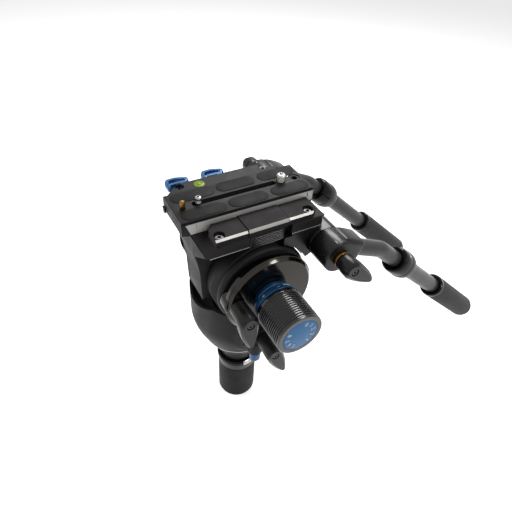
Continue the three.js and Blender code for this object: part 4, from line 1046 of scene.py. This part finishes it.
def lever(hub, reach):
    """Conical hub along +X with a crowned teardrop arm that hangs from its outer end"""
    arm_start, tip = hub - 11, reach + 4.6
    arm_end, face = arm_start + 4, hub - 3.4
    body = turned([
        (0, 0), (8.4, 0), (9.2, 0.8), (9.8, arm_start), (9.8, arm_end), (0, arm_end),
    ], "X", ease=0.5)
    leaf = bow((2.2, -tip), (9.6, -0.62 * tip), (10, 0), 14)
    half = [(0.6, -tip - 1.0), (1.5, -tip - 0.7), *leaf]
    outline = [*half, *arc((0, 0), 10, 7.5, 172.5, 22), *[(-y, z) for y, z in reversed(half)]]
    arm = crowned(outline, [(arm_start, 1), (face, 1), (hub - 3.0, 0.98), (hub - 0.5, 0.74), (hub, 0.7)])
    back_start = arm_start - 4
    back = prism([
        (back_start, -12), (arm_start + 0.5, -12), (arm_start + 5.5, -tip - 4), (back_start, -tip - 4),
    ], -14, 14, "Y")
    fused(cut(arm, back), body)
    return cut(arm, rod(4, -6, face, "X"), rod(4.2, hub - SCREW_SINK, hub + 5, "X"))


def placed_lever(node, hub, reach, angle, place, side):
    """Lever at its place and angle, with the screw in its face. Side is -1 for a mirrored one."""
    turn = Matrix.Rotation(math.radians(angle), 4, "X")
    piece = moved(lever(hub, reach), Matrix.Translation(place) @ turn)
    standing_for(piece if side > 0 else other_side(piece), node, black_anodising())
    face = side * (place[0] + hub - SCREW_SINK)
    screws(node + "_screw", node, [((face, *place[1:]), (side, 0, 0))], head=3.1, height=1.8, socket=1.6)


def levers():
    """Levers of the tilt lock, the pan lock and the two bar clamps, and the blue dial"""
    for node, hub, reach, angle, place, side in (
        ("tilt_lock_lever", 28.6, 32, 4.5, (66.3, *TILT_LOCK), 1),
        ("pan_lock_lever", 30.5, 36.8, 21.8, (56.3, *PAN_LOCK), 1),
        ("near_clamp_lever", 19.7, 31.9, 48.8, (90, *BAR_AXIS), 1),
        ("far_clamp_lever", 19.7, 31.9, 48.8, (90, *BAR_AXIS), -1),
    ):
        placed_lever(node, hub, reach, angle, place, side)
    dial = turned([
        (0, -10.2), (6.1, -10.2), (6.9, -9.4), (6.9, 1.6), (6.1, 2.5), (2.2, 2.5), (2.2, 11.5), (0, 11.5),
    ], at=DIAL_PLACE, ease=0.4)
    standing_for(dial, "pan_drag_dial", blue_anodising())


# Tilt housing

def tilt_housing():
    """Drum with its front skirt, the platform on it and the corbel under the platform's nose"""
    skirt, back, top = (-53.5, 93), 43, PLATFORM_LOW + 0.8
    first = math.atan2(skirt[1] - TILT_AXIS[1], skirt[0] - TILT_AXIS[0])
    last = math.acos((back - TILT_AXIS[0]) / DRUM_RADIUS)
    drum_arc = arc(TILT_AXIS, DRUM_RADIUS, math.degrees(first), math.degrees(last), 72)[1:]
    flare = bow((-60.4, 160), (-54.4, 140), (-54.4, 120), 12)
    drum = prism([
        skirt, *drum_arc, (back, top), (-59.2, top), (-60, 177.2), *flare,
    ], -DRUM_HALF, DRUM_HALF, "X")
    softened(drum, 0.8, 3, 50)
    slab = prism([
        (-60, PLATFORM_LOW), (67.5, PLATFORM_LOW), (67.5, PLATFORM_TOP), (-46, PLATFORM_TOP),
    ], -PLATFORM_HALF, PLATFORM_HALF, "X")
    half_plan = [(48, -60.8), (PLATFORM_HALF, -57), (PLATFORM_HALF, 64.5), (48, 68.3)]
    plan = prism([*half_plan, *[(-x, y) for x, y in reversed(half_plan)]], 170, 200)
    softened(shared(slab, plan), 0.6, 3, 25)
    corbel = prism([
        (-DRUM_HALF, 158.5), (DRUM_HALF, 158.5), (48, PLATFORM_LOW), (48, top), (-48, top),
        (-48, PLATFORM_LOW),
    ], -60, -45, "Y")
    casting = fused(drum, slab, corbel)
    cut(casting, block((44, 60), (-16, 30), (170, 200)), rod(AXLE_BORE, -30, 30, "X", TILT_AXIS),
        block((-16.6, -15.5), (-70, -53.5), (99, 152)))
    standing_for(casting, "tilt_housing", powder_coat(), smooth=28)
    # Strips of milled aluminium along the platform's lower edges: painted highlights
    inside, outside = PLATFORM_HALF - 0.9, PLATFORM_HALF + 0.12
    for name, start, end in (("front", -56.5, -16.4), ("rear", 30.4, 64)):
        strip = prism([(inside, 177.95), (outside, 177.95), (outside, 178.95)], start, end, "Y")
        fitted(strip, f"platform_{name}_bright_edge", "tilt_housing", milled_aluminium())


# Jaws and release parts

def jaw_section(proud=0.0):
    """Section of a jaw. The spring-loaded centre one stands proud of its neighbours."""
    outside, top = 50.5 + proud, JAW_TOP + proud
    return [
        (26.8, JAW_LOW), (outside, JAW_LOW), (outside, 195.3), (outside - 1.6, top),
        (26.08 - 0.1 * proud, top), (26.8, 192.2),
    ]


def near_jaws():
    """Near jaw in three lengths: the ends are screwed down and the centre one clamps the plate"""
    def trimmed(piece, corner, place):
        screw_seat = rod(5.4, 193, JAW_CUT_HIGH, at=NEAR_JAW_SCREWS[place])
        return cut(piece, prism(corner, JAW_CUT_LOW, JAW_CUT_HIGH), screw_seat)

    jaws = {
        "front": trimmed(prism(jaw_section(), -50, -17.7, "Y"), [
            (19, -56), (35, -56), (34, -50.5), (31.5, -46.6), (28.5, -44.9), (25, -45), (19, -45),
        ], "front"),
        "centre": prism(jaw_section(0.8), -16.9, 25.8, "Y"),
        "rear": trimmed(prism(jaw_section(), 26.6, 60, "Y"), [
            (56.5, 53), (56.5, 66), (38.5, 66), (44.5, 60), (50.5, 53),
        ], "rear"),
    }
    for place, piece in jaws.items():
        painted(piece, jaw_coat())
        repainted(piece, milled_aluminium(), lambda centre, normal: normal.x > 0.55 and normal.z > 0.3)
        standing_for(piece, "near_jaw_" + place)
    for place, spot in NEAR_JAW_SCREWS.items():
        screws(f"near_{place}_jaw_screw", f"near_jaw_{place}", [((*spot, 193), (0, 0, 1))],
               head=3.9, height=2.0, socket=2.0)


def far_jaw():
    """Far jaw with the pockets of the release levers, the bubble level's seat and two screws"""
    bar = prism([(-x, z) for x, z in jaw_section()], -66, 61, "Y")
    plan = prism([
        (0, -66), (-32, -66), (-50, -48), (-56, -48), (-56, 43), (-50, 43), (-32, 61), (0, 61),
    ], JAW_CUT_LOW, JAW_CUT_HIGH, ease=3)
    jaw = softened(shared(bar, plan), 0.5, 3, 30)
    pocket = (191.4, 195.6)
    screw_seat = 193.2
    cuts = [rod(6.6, 193.6, JAW_CUT_HIGH, at=LEVEL_PLACE)]
    cuts += [rod(5.0, screw_seat, JAW_CUT_HIGH, at=spot) for spot in FAR_JAW_SCREWS]
    for x, y in LOOP_PIVOTS.values():
        cuts.append(rod(4.8, *pocket, at=(x, y)))
        cuts.append(block((-57, x + 1.8), (y - 22, y + 9), pocket))
        cuts.append(rod(LOOP_PIN_BORE, JAW_CUT_LOW, 196.7, at=(x, y)))
    standing_for(cut(jaw, *cuts), "far_jaw", powder_coat(), smooth=28)
    screws("far_jaw_screws", "far_jaw", [
        ((*spot, screw_seat), (0, 0, 1)) for spot in FAR_JAW_SCREWS
    ], head=3.8, height=2.0, socket=1.9)
    blocks("far_jaw_scale", "far_jaw", start=(-31.5, -16, JAW_TOP), count=5, step=(0, 13, 0),
           box=(2.4, size("mark_width"), 0.06), material=marking_ink())


def about_pivot(pivot, points):
    """Outline whose points are given from the pivot"""
    return [(pivot[0] + across, pivot[1] + along) for across, along in points]


def release_lever(pivot):
    """Blue loop that hangs from an arm on its pivot, with a window for the finger"""
    low, high = 191.7, 195.3
    arm = prism(about_pivot(pivot, [
        (2, -3), (2, 1.8), (-9, 1.8), (-11, 0), (-11, -15), (-7.8, -15), (-7.8, -4.5), (0, -4.5),
    ]), low, high)
    neck = prism(about_pivot(pivot, [(-7.9, -14.6), (-7.9, -4.6), (-11, -4.6), (-11, -14.6)]), 187, high)
    ring = prism(about_pivot(pivot, [
        (-8.0, -18), (-20, -18), (-26, -14.8), (-26.8, -5), (-22.6, 8.0), (-17.2, 8.4), (-8.8, -3.6),
    ]), 186.0, 191.2, ease=3)
    window = prism(about_pivot(pivot, [
        (-11.6, -14.2), (-19.4, -14.2), (-22.6, -12.4), (-23.0, -4.8), (-19.8, 4.4), (-17.4, 4.6),
        (-11.6, -2.6),
    ]), 180, 198, ease=2)
    loop = fused(arm, neck, softened(ring, 0.9, 3, 50), rod(4.5, low, high, at=pivot))
    return cut(loop, softened(window, 0.2, 1, 80), rod(LOOP_PIN_BORE, 185, 202, at=pivot))


def release_parts():
    """Ribbed button under the near jaws, and the two blue levers of the far jaw"""
    button = softened(block((47.3, 51.9), (-15.7, 20.9), (176.3, 189.6)), 1.1, 4)
    standing_for(button, "release_button", moulded_plastic())
    blocks("release_button_ribs", "release_button", start=(52.0, 2.6, 178.0), count=6,
           step=(0, 0, 2.15), box=(1.2, 29, 0.95), material=knob_metal())
    for place, pivot in LOOP_PIVOTS.items():
        standing_for(release_lever(pivot), f"{place}_release_lever", blue_anodising())


def bubble_level():
    """Round vial in its rim, with a printed ring and the air bubble"""
    vial = turned([
        (0, 193.9), (5.6, 193.9), (5.6, JAW_TOP), (5.0, 198.1), (4.2, 198.3), (2, 198.4), (0, 198.42),
    ], at=LEVEL_PLACE)
    standing_for(vial, "bubble_level", level_vial(), smooth=50)
    rim = sleeve(6.3, 5.75, 194.2, JAW_TOP + 0.4, at=LEVEL_PLACE, ease=0.2)
    fitted(rim, "level_rim", "bubble_level", level_rim())
    ring = sleeve(2.9, 2.45, 198.2, 198.46, at=LEVEL_PLACE)
    fitted(ring, "level_circle", "bubble_level", powder_coat())
    bubble = turned([(0, 198.2), (1.9, 198.2), (1.6, 198.55), (0.8, 198.75), (0, 198.8)], at=LEVEL_PLACE)
    fitted(bubble, "level_bubble", "bubble_level", level_glow(), smooth=60)


# Camera plate

def camera_plate():
    """Dovetail plate with its slot and holes, the rubber pads, side ticks and dowel"""
    half = [
        (PLATE_HALF, JAW_LOW), (PLATE_HALF, 192.2), (25, 202.8), (22.7, 202.8), (22.7, 203.6), (23.5, 203.6),
        (23.5, PLATE_TOP),
    ]
    bar = prism([*half, *[(-x, z) for x, z in reversed(half)]], PLATE_FRONT, PLATE_REAR, "Y")
    plan = prism([
        (-23.5, PLATE_FRONT), (23.8, PLATE_FRONT), (PLATE_HALF, -64), (PLATE_HALF, 67), (23.8, PLATE_REAR),
        (-23.5, PLATE_REAR), (-PLATE_HALF, 67), (-PLATE_HALF, -69.4),
    ], JAW_CUT_LOW, PLATE_CUT_HIGH)
    plate = softened(shared(bar, plan), 0.25, 2, 40)
    rear_hole = (0, 61.6)
    cut(
        plate, prism(stadium(0, -6.2, 6.8, 91.4), JAW_CUT_LOW, PLATE_CUT_HIGH),
        prism(stadium(0, -0.25, 16, 108.5), JAW_CUT_LOW, 196.2),
        rod(4.9, 190, PLATE_CUT_HIGH, at=THREE_EIGHTHS_SCREW),
        rod(3.2, JAW_CUT_LOW, PLATE_CUT_HIGH, at=rear_hole), rod(5.8, 204.2, PLATE_CUT_HIGH, at=rear_hole),
        rod(2.8, 200, PLATE_CUT_HIGH, at=PIN_PLACE),
    )
    painted(plate, powder_coat())
    repainted(plate, milled_aluminium(), lambda centre, normal: (
        abs(normal.x) > 0.97 and abs(centre.x) > 24.8 and centre.z > 192 and normal.x * centre.x > 0
    ))
    standing_for(plate, "camera_plate", smooth=28)

    pads = [
        softened(prism(stadium(x, y, 15.8, long, 20), 204.6, PLATE_TOP + size("pad_height")), 0.18, 2, 60)
        for y, long in ((-45.5, 45), (1, 42), (47, 42)) for x in (-14.4, 14.4)
    ]
    fitted(fused(*pads), "camera_plate_pads", "camera_plate", pad_rubber())
    blocks("plate_side_ticks", "camera_plate", start=(25.6, -58, 199), count=2, step=(0, 120, 0),
           box=(0.6, 0.6, 5.5), material=plated_steel())
    dot = turned([(0, 204.8), (0.9, 204.8), (0.9, 205.1), (0.5, 205.35), (0, 205.4)], at=(-4.5, 55.5))
    fitted(dot, "plate_dowel", "camera_plate", plated_steel(), smooth=60)


def threaded(radius, start, end, pitch):
    """Profile of a threaded end with a socket: rings a pitch apart, and a rounded tip"""
    root, socket = radius - 0.4, radius * 0.45
    rings = math.ceil((end - 1.6 - start) / pitch) - 1
    teeth = []
    for low in (start + pitch * ring for ring in range(rings)):
        teeth += [(radius, low + pitch * 0.25), (radius, low + pitch * 0.5), (root, low + pitch)]
    return [
        *teeth, (radius, end - 1.3), (radius - 0.3, end - 0.6), (radius - 1.0, end), (socket, end),
        (socket, end - 2.5), (0, end - 2.5),
    ]


def plate_screws():
    """The two camera screws in the plate's slot, and the brass pin in front of them"""
    neck = 205.4
    for node, place, radius, top, pitch in (
        ("quarter_screw", QUARTER_SCREW, 3.2, 212.0, 1.27),
        ("three_eighths_screw", THREE_EIGHTHS_SCREW, 4.7, 213.4, 1.59),
    ):
        screw = turned([
            (0, 191.7), (7.2, 191.7), (7.2, 195.9), (radius, 195.9), (radius, neck),
            *threaded(radius, neck, top, pitch),
        ], at=place)
        standing_for(screw, node, plated_steel(), smooth=50)
    pin = turned([
        (0, 200.3), (2.5, 200.3), (2.5, 212.2), (2.1, 213.4), (1.2, 214), (0, 214),
    ], at=PIN_PLACE, ease=0.3)
    standing_for(pin, "anti_twist_pin", turned_brass(), smooth=50)


# Cross bar and pan bars

def cross_bar():
    """Round bar behind the head, with the web that joins it to the platform"""
    bar = softened(rod(BAR_RADIUS, -58, 58, "X", BAR_AXIS), 1.2, 3)
    web_top = 177.7
    hollow = arc(TILT_AXIS, 53, 69, 27, 16)
    web = prism([
        (hollow[0][0], web_top), *hollow, (60, 146), BAR_AXIS, (BAR_AXIS[0], web_top),
    ], -51.6, 51.6, "X")
    inner_web = prism([
        *arc(TILT_AXIS, 53.1, 50, 20, 12), (59.5, 132), (63, 134), BAR_AXIS, (52, 170),
    ], -40, 40, "X")
    fused(bar, web, inner_web)
    cut(bar, block((-70, 70), (10, 110), (web_top, 200)), block((43.8, 60), (10, 30.4), (175.8, 180)),
        rod(DRUM_RADIUS + 0.3, -CHEEK_START, CHEEK_START, "X", TILT_AXIS, sides=FINE_SIDES),
        rod(STUD_BORE, 46, 64, "X", BAR_AXIS), rod(STUD_BORE, -64, -46, "X", BAR_AXIS))
    standing_for(bar, "cross_bar", black_anodising(), smooth=28)
    lean = math.degrees(0.9)
    screws("cross_bar_screws", "cross_bar", [
        ((x, *around(BAR_AXIS, BAR_RADIUS - 0.2, lean)), (0, *around((0, 0), 1, lean))) for x in (-34, 34)
    ])


def leg(angle, place):
    """Frame of a straight stretch of the bar: its Z runs down the bar from place"""
    return Matrix.Translation(place) @ Matrix.Rotation(math.radians(-(90 + angle)), 4, "X")


def direction(angle):
    """Unit vector down a stretch of the bar"""
    return Vector((0, *around((0, 0), 1, -angle)))


def bar_clamp(place, side, start):
    """Eye on the cross bar with the split socket of the bent tube, its marks and its brass collar"""
    node = f"{place}_bar_clamp"
    eye_start, eye_end = side * EYE_X - EYE_HALF, side * EYE_X + EYE_HALF
    on_leg = leg(FIRST_LEG_ANGLE, start)
    clamp = softened(rod(BAR_RADIUS, eye_start, eye_end, "X", BAR_AXIS), 1.8, 4)
    socket = softened(prism([
        (-13.2, -4), (-14.4, 6), (-13.9, 27), (13.9, 27), (15.5, 15), (19, 3), (19, -4),
    ], -EYE_HALF, EYE_HALF, "X"), 5.5, 6)
    fused(clamp, moved(socket, on_leg))
    split = block((-0.8, 0.8), (0, 27), (15, 48))
    cut(clamp, moved(rod(TUBE_RADIUS + 0.2, 14, 48), on_leg), moved(split, on_leg),
        rod(STUD_BORE, eye_start - 14.3, eye_end + 14.3, "X", BAR_AXIS))
    standing_for(clamp, node, black_anodising(), smooth=30)
    blocks(f"{place}_clamp_marks", node, start=(side * 80.6, 62.4, 178.6), count=2,
           step=(side * 1.6, 2.1, 0.1), box=(4.0, 0.45, 0.5), material=marking_ink())
    collar = sleeve(9, STUD_BORE, 86, 89.7, "X", BAR_AXIS, ease=0.8)
    standing_for(collar if side > 0 else other_side(collar), f"{place}_clamp_collar", turned_brass())


def pan_bar(side, retraction):
    """Clamp, bent tube, twist collar, extension tube and grip of the bar on one side"""
    place = "near" if side > 0 else "far"
    first, second = direction(FIRST_LEG_ANGLE), direction(SECOND_LEG_ANGLE)
    start = Vector((side * EYE_X, *around(BAR_AXIS, 6.5, 90 - FIRST_LEG_ANGLE)))
    bend = start + first * FIRST_LEG_LENGTH
    bar_clamp(place, side, start)

    tangent = 32 * math.tan(math.radians(SECOND_LEG_ANGLE - FIRST_LEG_ANGLE) / 2)
    corner = bow(bend - first * tangent, bend, bend + second * tangent, 12)
    path = [start + first * 14.3, *map(Vector, corner), bend + second * 150]
    standing_for(swept(path, TUBE_RADIUS), f"{place}_bent_tube", tube_paint())

    bore, outside = TUBE_RADIUS + 0.3, 10.5
    on_bar = leg(SECOND_LEG_ANGLE, bend - second * retraction)
    for node, trim, finish, ease, profile in (
        ("bar_collar", None, collar_paint, 1.2, [
            (bore, 54.4), (16.3, 54.4), (16.8, 56), (16.8, 60), (16.2, 64.5), (14.9, 69), (12.8, 73),
            (10.8, 75.5), (outside, 75.5), (outside, 54.6),
        ]),
        ("bar_collar", "collar_ring", gloss_plastic, 0.6, [
            (bore, 37.0), (13.6, 37.0), (15.4, 38.6), (16.3, 43), (16.5, 54.2), (bore, 54.2),
        ]),
        ("extension_tube", None, tube_paint, 0, [
            (0, 300), (10.2, 300), (10.2, 54.9), (bore, 54.9), (bore, 291.3), (0, 291.3),
        ]),
        ("bar_grip", "grip_ring", gloss_plastic, 0.5, [
            (outside, 162.2), (13.6, 162.2), (15.2, 163.8), (15.4, 169.6), (outside, 169.6),
        ]),
        ("bar_grip", None, grip_rubber, 1.5, [
            (0, 306.8), (5, 306.8), (outside, 305.4), (14.3, 302), (15.8, 296.5), (15.5, 170.4),
            (15.1, 169.8), (outside, 169.8), (outside, 300.3), (0, 300.3),
        ]),
    ):
        piece = moved(turned(profile, ring=profile[0][0] > 0, ease=ease), on_bar)
        if trim:
            fitted(piece, f"{place}_{trim}", f"{place}_{node}", finish())
        else:
            standing_for(piece, f"{place}_{node}", finish())

    out = leg(FIRST_LEG_ANGLE, start).to_3x3() @ Vector((0, 1, 0))
    spot = start + first * 22 + out * 13.6 + Vector((side * 5, 0, 0))
    screws(f"{place}_clamp_screw", f"{place}_bar_clamp", [(spot, out)])
    across, along = around((0, 0), 1, -math.degrees(1.0))
    axis = Vector((side * across, along, 0))
    spot = on_bar @ (axis * 16.1 + Vector((0, 0, 47)))
    screws(f"{place}_collar_screw", f"{place}_bar_collar", [(spot, on_bar.to_3x3() @ axis)],
           head=1.5, height=0.6, socket=0.7, material=plated_steel())


# Solids that stay, and loose screws

def inner_solids():
    """Gives the solids that are shown as they are their finishes"""
    finishes = {
        "steel": plated_steel, "black_casting": black_anodising, "black_plastic": moulded_plastic,
    }
    for node, piece in frame["nodes"].items():
        painted(piece, finishes.get(slot_of[node], powder_coat)())


def small_screws():
    """Screws in the near bearing cover and in the side of the pan housing"""
    screws("bearing_cover_screw", "near_bearing_cover", [((50.6, -31.6, 136.8), (1, 0, 0))])
    screws("housing_side_screw", "pan_housing", [((48.1, -15, 25), (1, 0, 0))],
           head=2.2, height=1.2, socket=1.1)


# Stage

def background_share(tree):
    """1 for what the camera sees directly, mirrored or through glass, and 0 for the light on the head"""
    path = add(tree, "ShaderNodeLightPath").outputs
    share = path["Is Camera Ray"]
    for ray in ("Is Glossy Ray", "Is Transmission Ray"):
        share = add(tree, "ShaderNodeMath", {0: share, 1: path[ray]}, operation="MAXIMUM").outputs[0]
    return share


# Matte white paper that shows as white and keeps the shadow of the head
def paper():
    material = bpy.data.materials.new("white_paper_sweep")
    tree = node_tree_of(material)
    share = background_share(tree)
    matte = add(tree, "ShaderNodeBsdfDiffuse", {"Color": (0.86, 0.86, 0.86, 1)})
    glow = add(tree, "ShaderNodeEmission", {"Color": (1, 1, 1, 1), "Strength": 0.7})
    lit = add(tree, "ShaderNodeAddShader", {0: matte.outputs[0], 1: glow.outputs[0]})
    shader = add(tree, "ShaderNodeMixShader", {0: share, 1: matte.outputs[0], 2: lit.outputs[0]})
    add(tree, "ShaderNodeOutputMaterial", {"Surface": shader.outputs[0]})
    return material


def paper_floor():
    """Square of paper under the head, its half side in metres"""
    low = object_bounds()[0]
    reach = 6
    data = bpy.data.meshes.new("floor")
    corners = [(x, y, low.z) for x, y in ((-reach, -reach), (reach, -reach), (reach, reach), (-reach, reach))]
    data.from_pydata(corners, [], [(0, 1, 2, 3)])
    floor = painted(shown("floor", data), paper())
    floor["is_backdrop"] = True


def sky():
    """Plain sky: white behind the head, and dim where it lights the head"""
    world = bpy.data.worlds.new("studio")
    bpy.context.scene.world = world
    tree = node_tree_of(world)
    strength = add(tree, "ShaderNodeMapRange", {
        "Value": background_share(tree), "To Min": 0.11, "To Max": 1.0,
    })
    light = add(tree, "ShaderNodeBackground", {"Color": (1, 1, 1, 1), "Strength": strength.outputs[0]})
    add(tree, "ShaderNodeOutputWorld", {"Surface": light.outputs[0]})


def softboxes():
    """Three square softboxes, in metres and watts. The front one isn't mirrored by the gloss."""
    middle = Vector((0.02, 0.03, 0.1))
    for name, place, wide, power in (
        ("front_softbox", (-0.55, -1.15, 0.75), 0.7, 12.0),
        ("rear_high_softbox", (-0.80, 0.68, 1.20), 0.62, 20.0),
        ("side_softbox", (0.97, 0.56, 0.96), 0.28, 6.0),
    ):
        light = bpy.data.lights.new(name, "AREA")
        light.shape, light.size, light.energy = "SQUARE", wide, power
        lamp = shown(name, light)
        lamp.location = place
        lamp.rotation_euler = (middle - Vector(place)).to_track_quat("-Z", "Y").to_euler()
        lamp.visible_glossy = name != "front_softbox"


def camera():
    """Camera at the photograph's viewing angle, fitted on the edges of the plate and the rounds"""
    turn, rise, roll = math.radians(30.53), math.radians(42.17), math.radians(3.29)
    place = (0.3327, -0.1749, 0.4608)
    focal_pixels, picture_pixels, sensor = 458.8, 512, 36
    back = Vector((math.cos(rise) * math.cos(turn), -math.cos(rise) * math.sin(turn), math.sin(rise)))
    level = Vector((math.sin(turn), math.cos(turn), 0))
    upwards = back.cross(level)
    right = level * math.cos(roll) + upwards * math.sin(roll)
    up = upwards * math.cos(roll) - level * math.sin(roll)
    data = bpy.data.cameras.new("camera")
    data.lens, data.sensor_width = focal_pixels / picture_pixels * sensor, sensor
    data.clip_start, data.clip_end = 0.01, 50
    piece = shown("camera", data)
    piece.matrix_world = Matrix.Translation(place) @ Matrix((right, up, back)).transposed().to_4x4()
    bpy.context.scene.camera = piece
    bpy.context.scene.view_settings.view_transform = "Standard"


# Operators

class HeadOperator:
    """What every operator of the head shares"""

    bl_options = {"REGISTER", "UNDO"}
    steps = ()

    def execute(self, context):
        for step in self.steps:
            step()
        return {"FINISHED"}


class VIDEOHEAD_OT_base(HeadOperator, bpy.types.Operator):
    """Half-ball base with the painted highlight on its flange edge, washer, collar and rubber tie-down grip
    """

    bl_idname, bl_label = "videohead.base", "Base and tie-down"
    steps = (bowl_seat, tie_down)


class VIDEOHEAD_OT_pan_housing(HeadOperator, bpy.types.Operator):
    """Cast cup with its round cheeks, and the covers on the cheeks"""

    bl_idname, bl_label = "videohead.pan_housing", "Pan housing"
    steps = (pan_housing, bearing_covers)


class VIDEOHEAD_OT_side_controls(HeadOperator, bpy.types.Operator):
    """Polished side cover, blue drag ring, ribbed knob and its numbered cap"""

    bl_idname, bl_label = "videohead.side_controls", "Side controls"
    steps = (side_cover, drag_ring, side_knob, numerals)


class VIDEOHEAD_OT_levers(HeadOperator, bpy.types.Operator):
    """Locking levers, bar clamp levers and the blue dial"""

    bl_idname, bl_label = "videohead.levers", "Levers"
    steps = (levers,)


class VIDEOHEAD_OT_tilt_housing(HeadOperator, bpy.types.Operator):
    """Drum, nose and platform in one casting"""

    bl_idname, bl_label = "videohead.tilt_housing", "Tilt housing"
    steps = (tilt_housing,)


class VIDEOHEAD_OT_clamp(HeadOperator, bpy.types.Operator):
    """Dovetail jaws, release button, blue loop levers and the bubble level"""

    bl_idname, bl_label = "videohead.clamp", "Plate clamp"
    steps = (near_jaws, far_jaw, release_parts, bubble_level)


class VIDEOHEAD_OT_camera_plate(HeadOperator, bpy.types.Operator):
    """Sliding camera plate with its pads, screws and pin"""

    bl_idname, bl_label = "videohead.camera_plate", "Camera plate"
    steps = (camera_plate, plate_screws)


class VIDEOHEAD_OT_pan_bars(HeadOperator, bpy.types.Operator):
    """Cross bar and the two telescopic pan bars"""

    bl_idname, bl_label = "videohead.pan_bars", "Pan bars"
    steps = (cross_bar, lambda: pan_bar(1, 0), lambda: pan_bar(-1, 19))


class VIDEOHEAD_OT_small_parts(HeadOperator, bpy.types.Operator):
    """Small screws, and the finishes of the solids that are shown as they are"""

    bl_idname, bl_label = "videohead.small_parts", "Small parts"
    steps = (inner_solids, small_screws)


class VIDEOHEAD_OT_stage(HeadOperator, bpy.types.Operator):
    """White floor, sky, softboxes and the camera"""

    bl_idname, bl_label = "videohead.stage", "Stage"
    steps = (paper_floor, sky, softboxes, camera)


OPERATORS = (
    VIDEOHEAD_OT_small_parts, VIDEOHEAD_OT_base, VIDEOHEAD_OT_pan_housing, VIDEOHEAD_OT_side_controls,
    VIDEOHEAD_OT_levers, VIDEOHEAD_OT_tilt_housing, VIDEOHEAD_OT_clamp, VIDEOHEAD_OT_camera_plate,
    VIDEOHEAD_OT_pan_bars, VIDEOHEAD_OT_stage,
)


class VIDEOHEAD_PT_panel(bpy.types.Panel):
    """Lists the sizes, the colours and the operators of the head"""

    bl_idname, bl_label = "VIDEOHEAD_PT_panel", "Fluid Video Head"
    bl_space_type, bl_region_type, bl_category = "VIEW_3D", "UI", "Video Head"

    def draw(self, context):
        for group in (context.scene.video_head_sizes, context.scene.video_head_colours):
            column = self.layout.column()
            for key in group.__annotations__:
                column.prop(group, key)
        for operator in OPERATORS:
            self.layout.operator(operator.bl_idname)


CLASSES = (HeadSizes, HeadColours, *OPERATORS, VIDEOHEAD_PT_panel)


def register():
    for cls in CLASSES:
        bpy.utils.register_class(cls)
    bpy.types.Scene.video_head_sizes = PointerProperty(type=HeadSizes)
    bpy.types.Scene.video_head_colours = PointerProperty(type=HeadColours)


def unregister():
    del bpy.types.Scene.video_head_colours
    del bpy.types.Scene.video_head_sizes
    for cls in reversed(CLASSES):
        bpy.utils.unregister_class(cls)


def main():
    register()
    for operator in OPERATORS:
        group, name = operator.bl_idname.split(".")
        getattr(getattr(bpy.ops, group), name)()


if __name__ == "__main__":
    main()
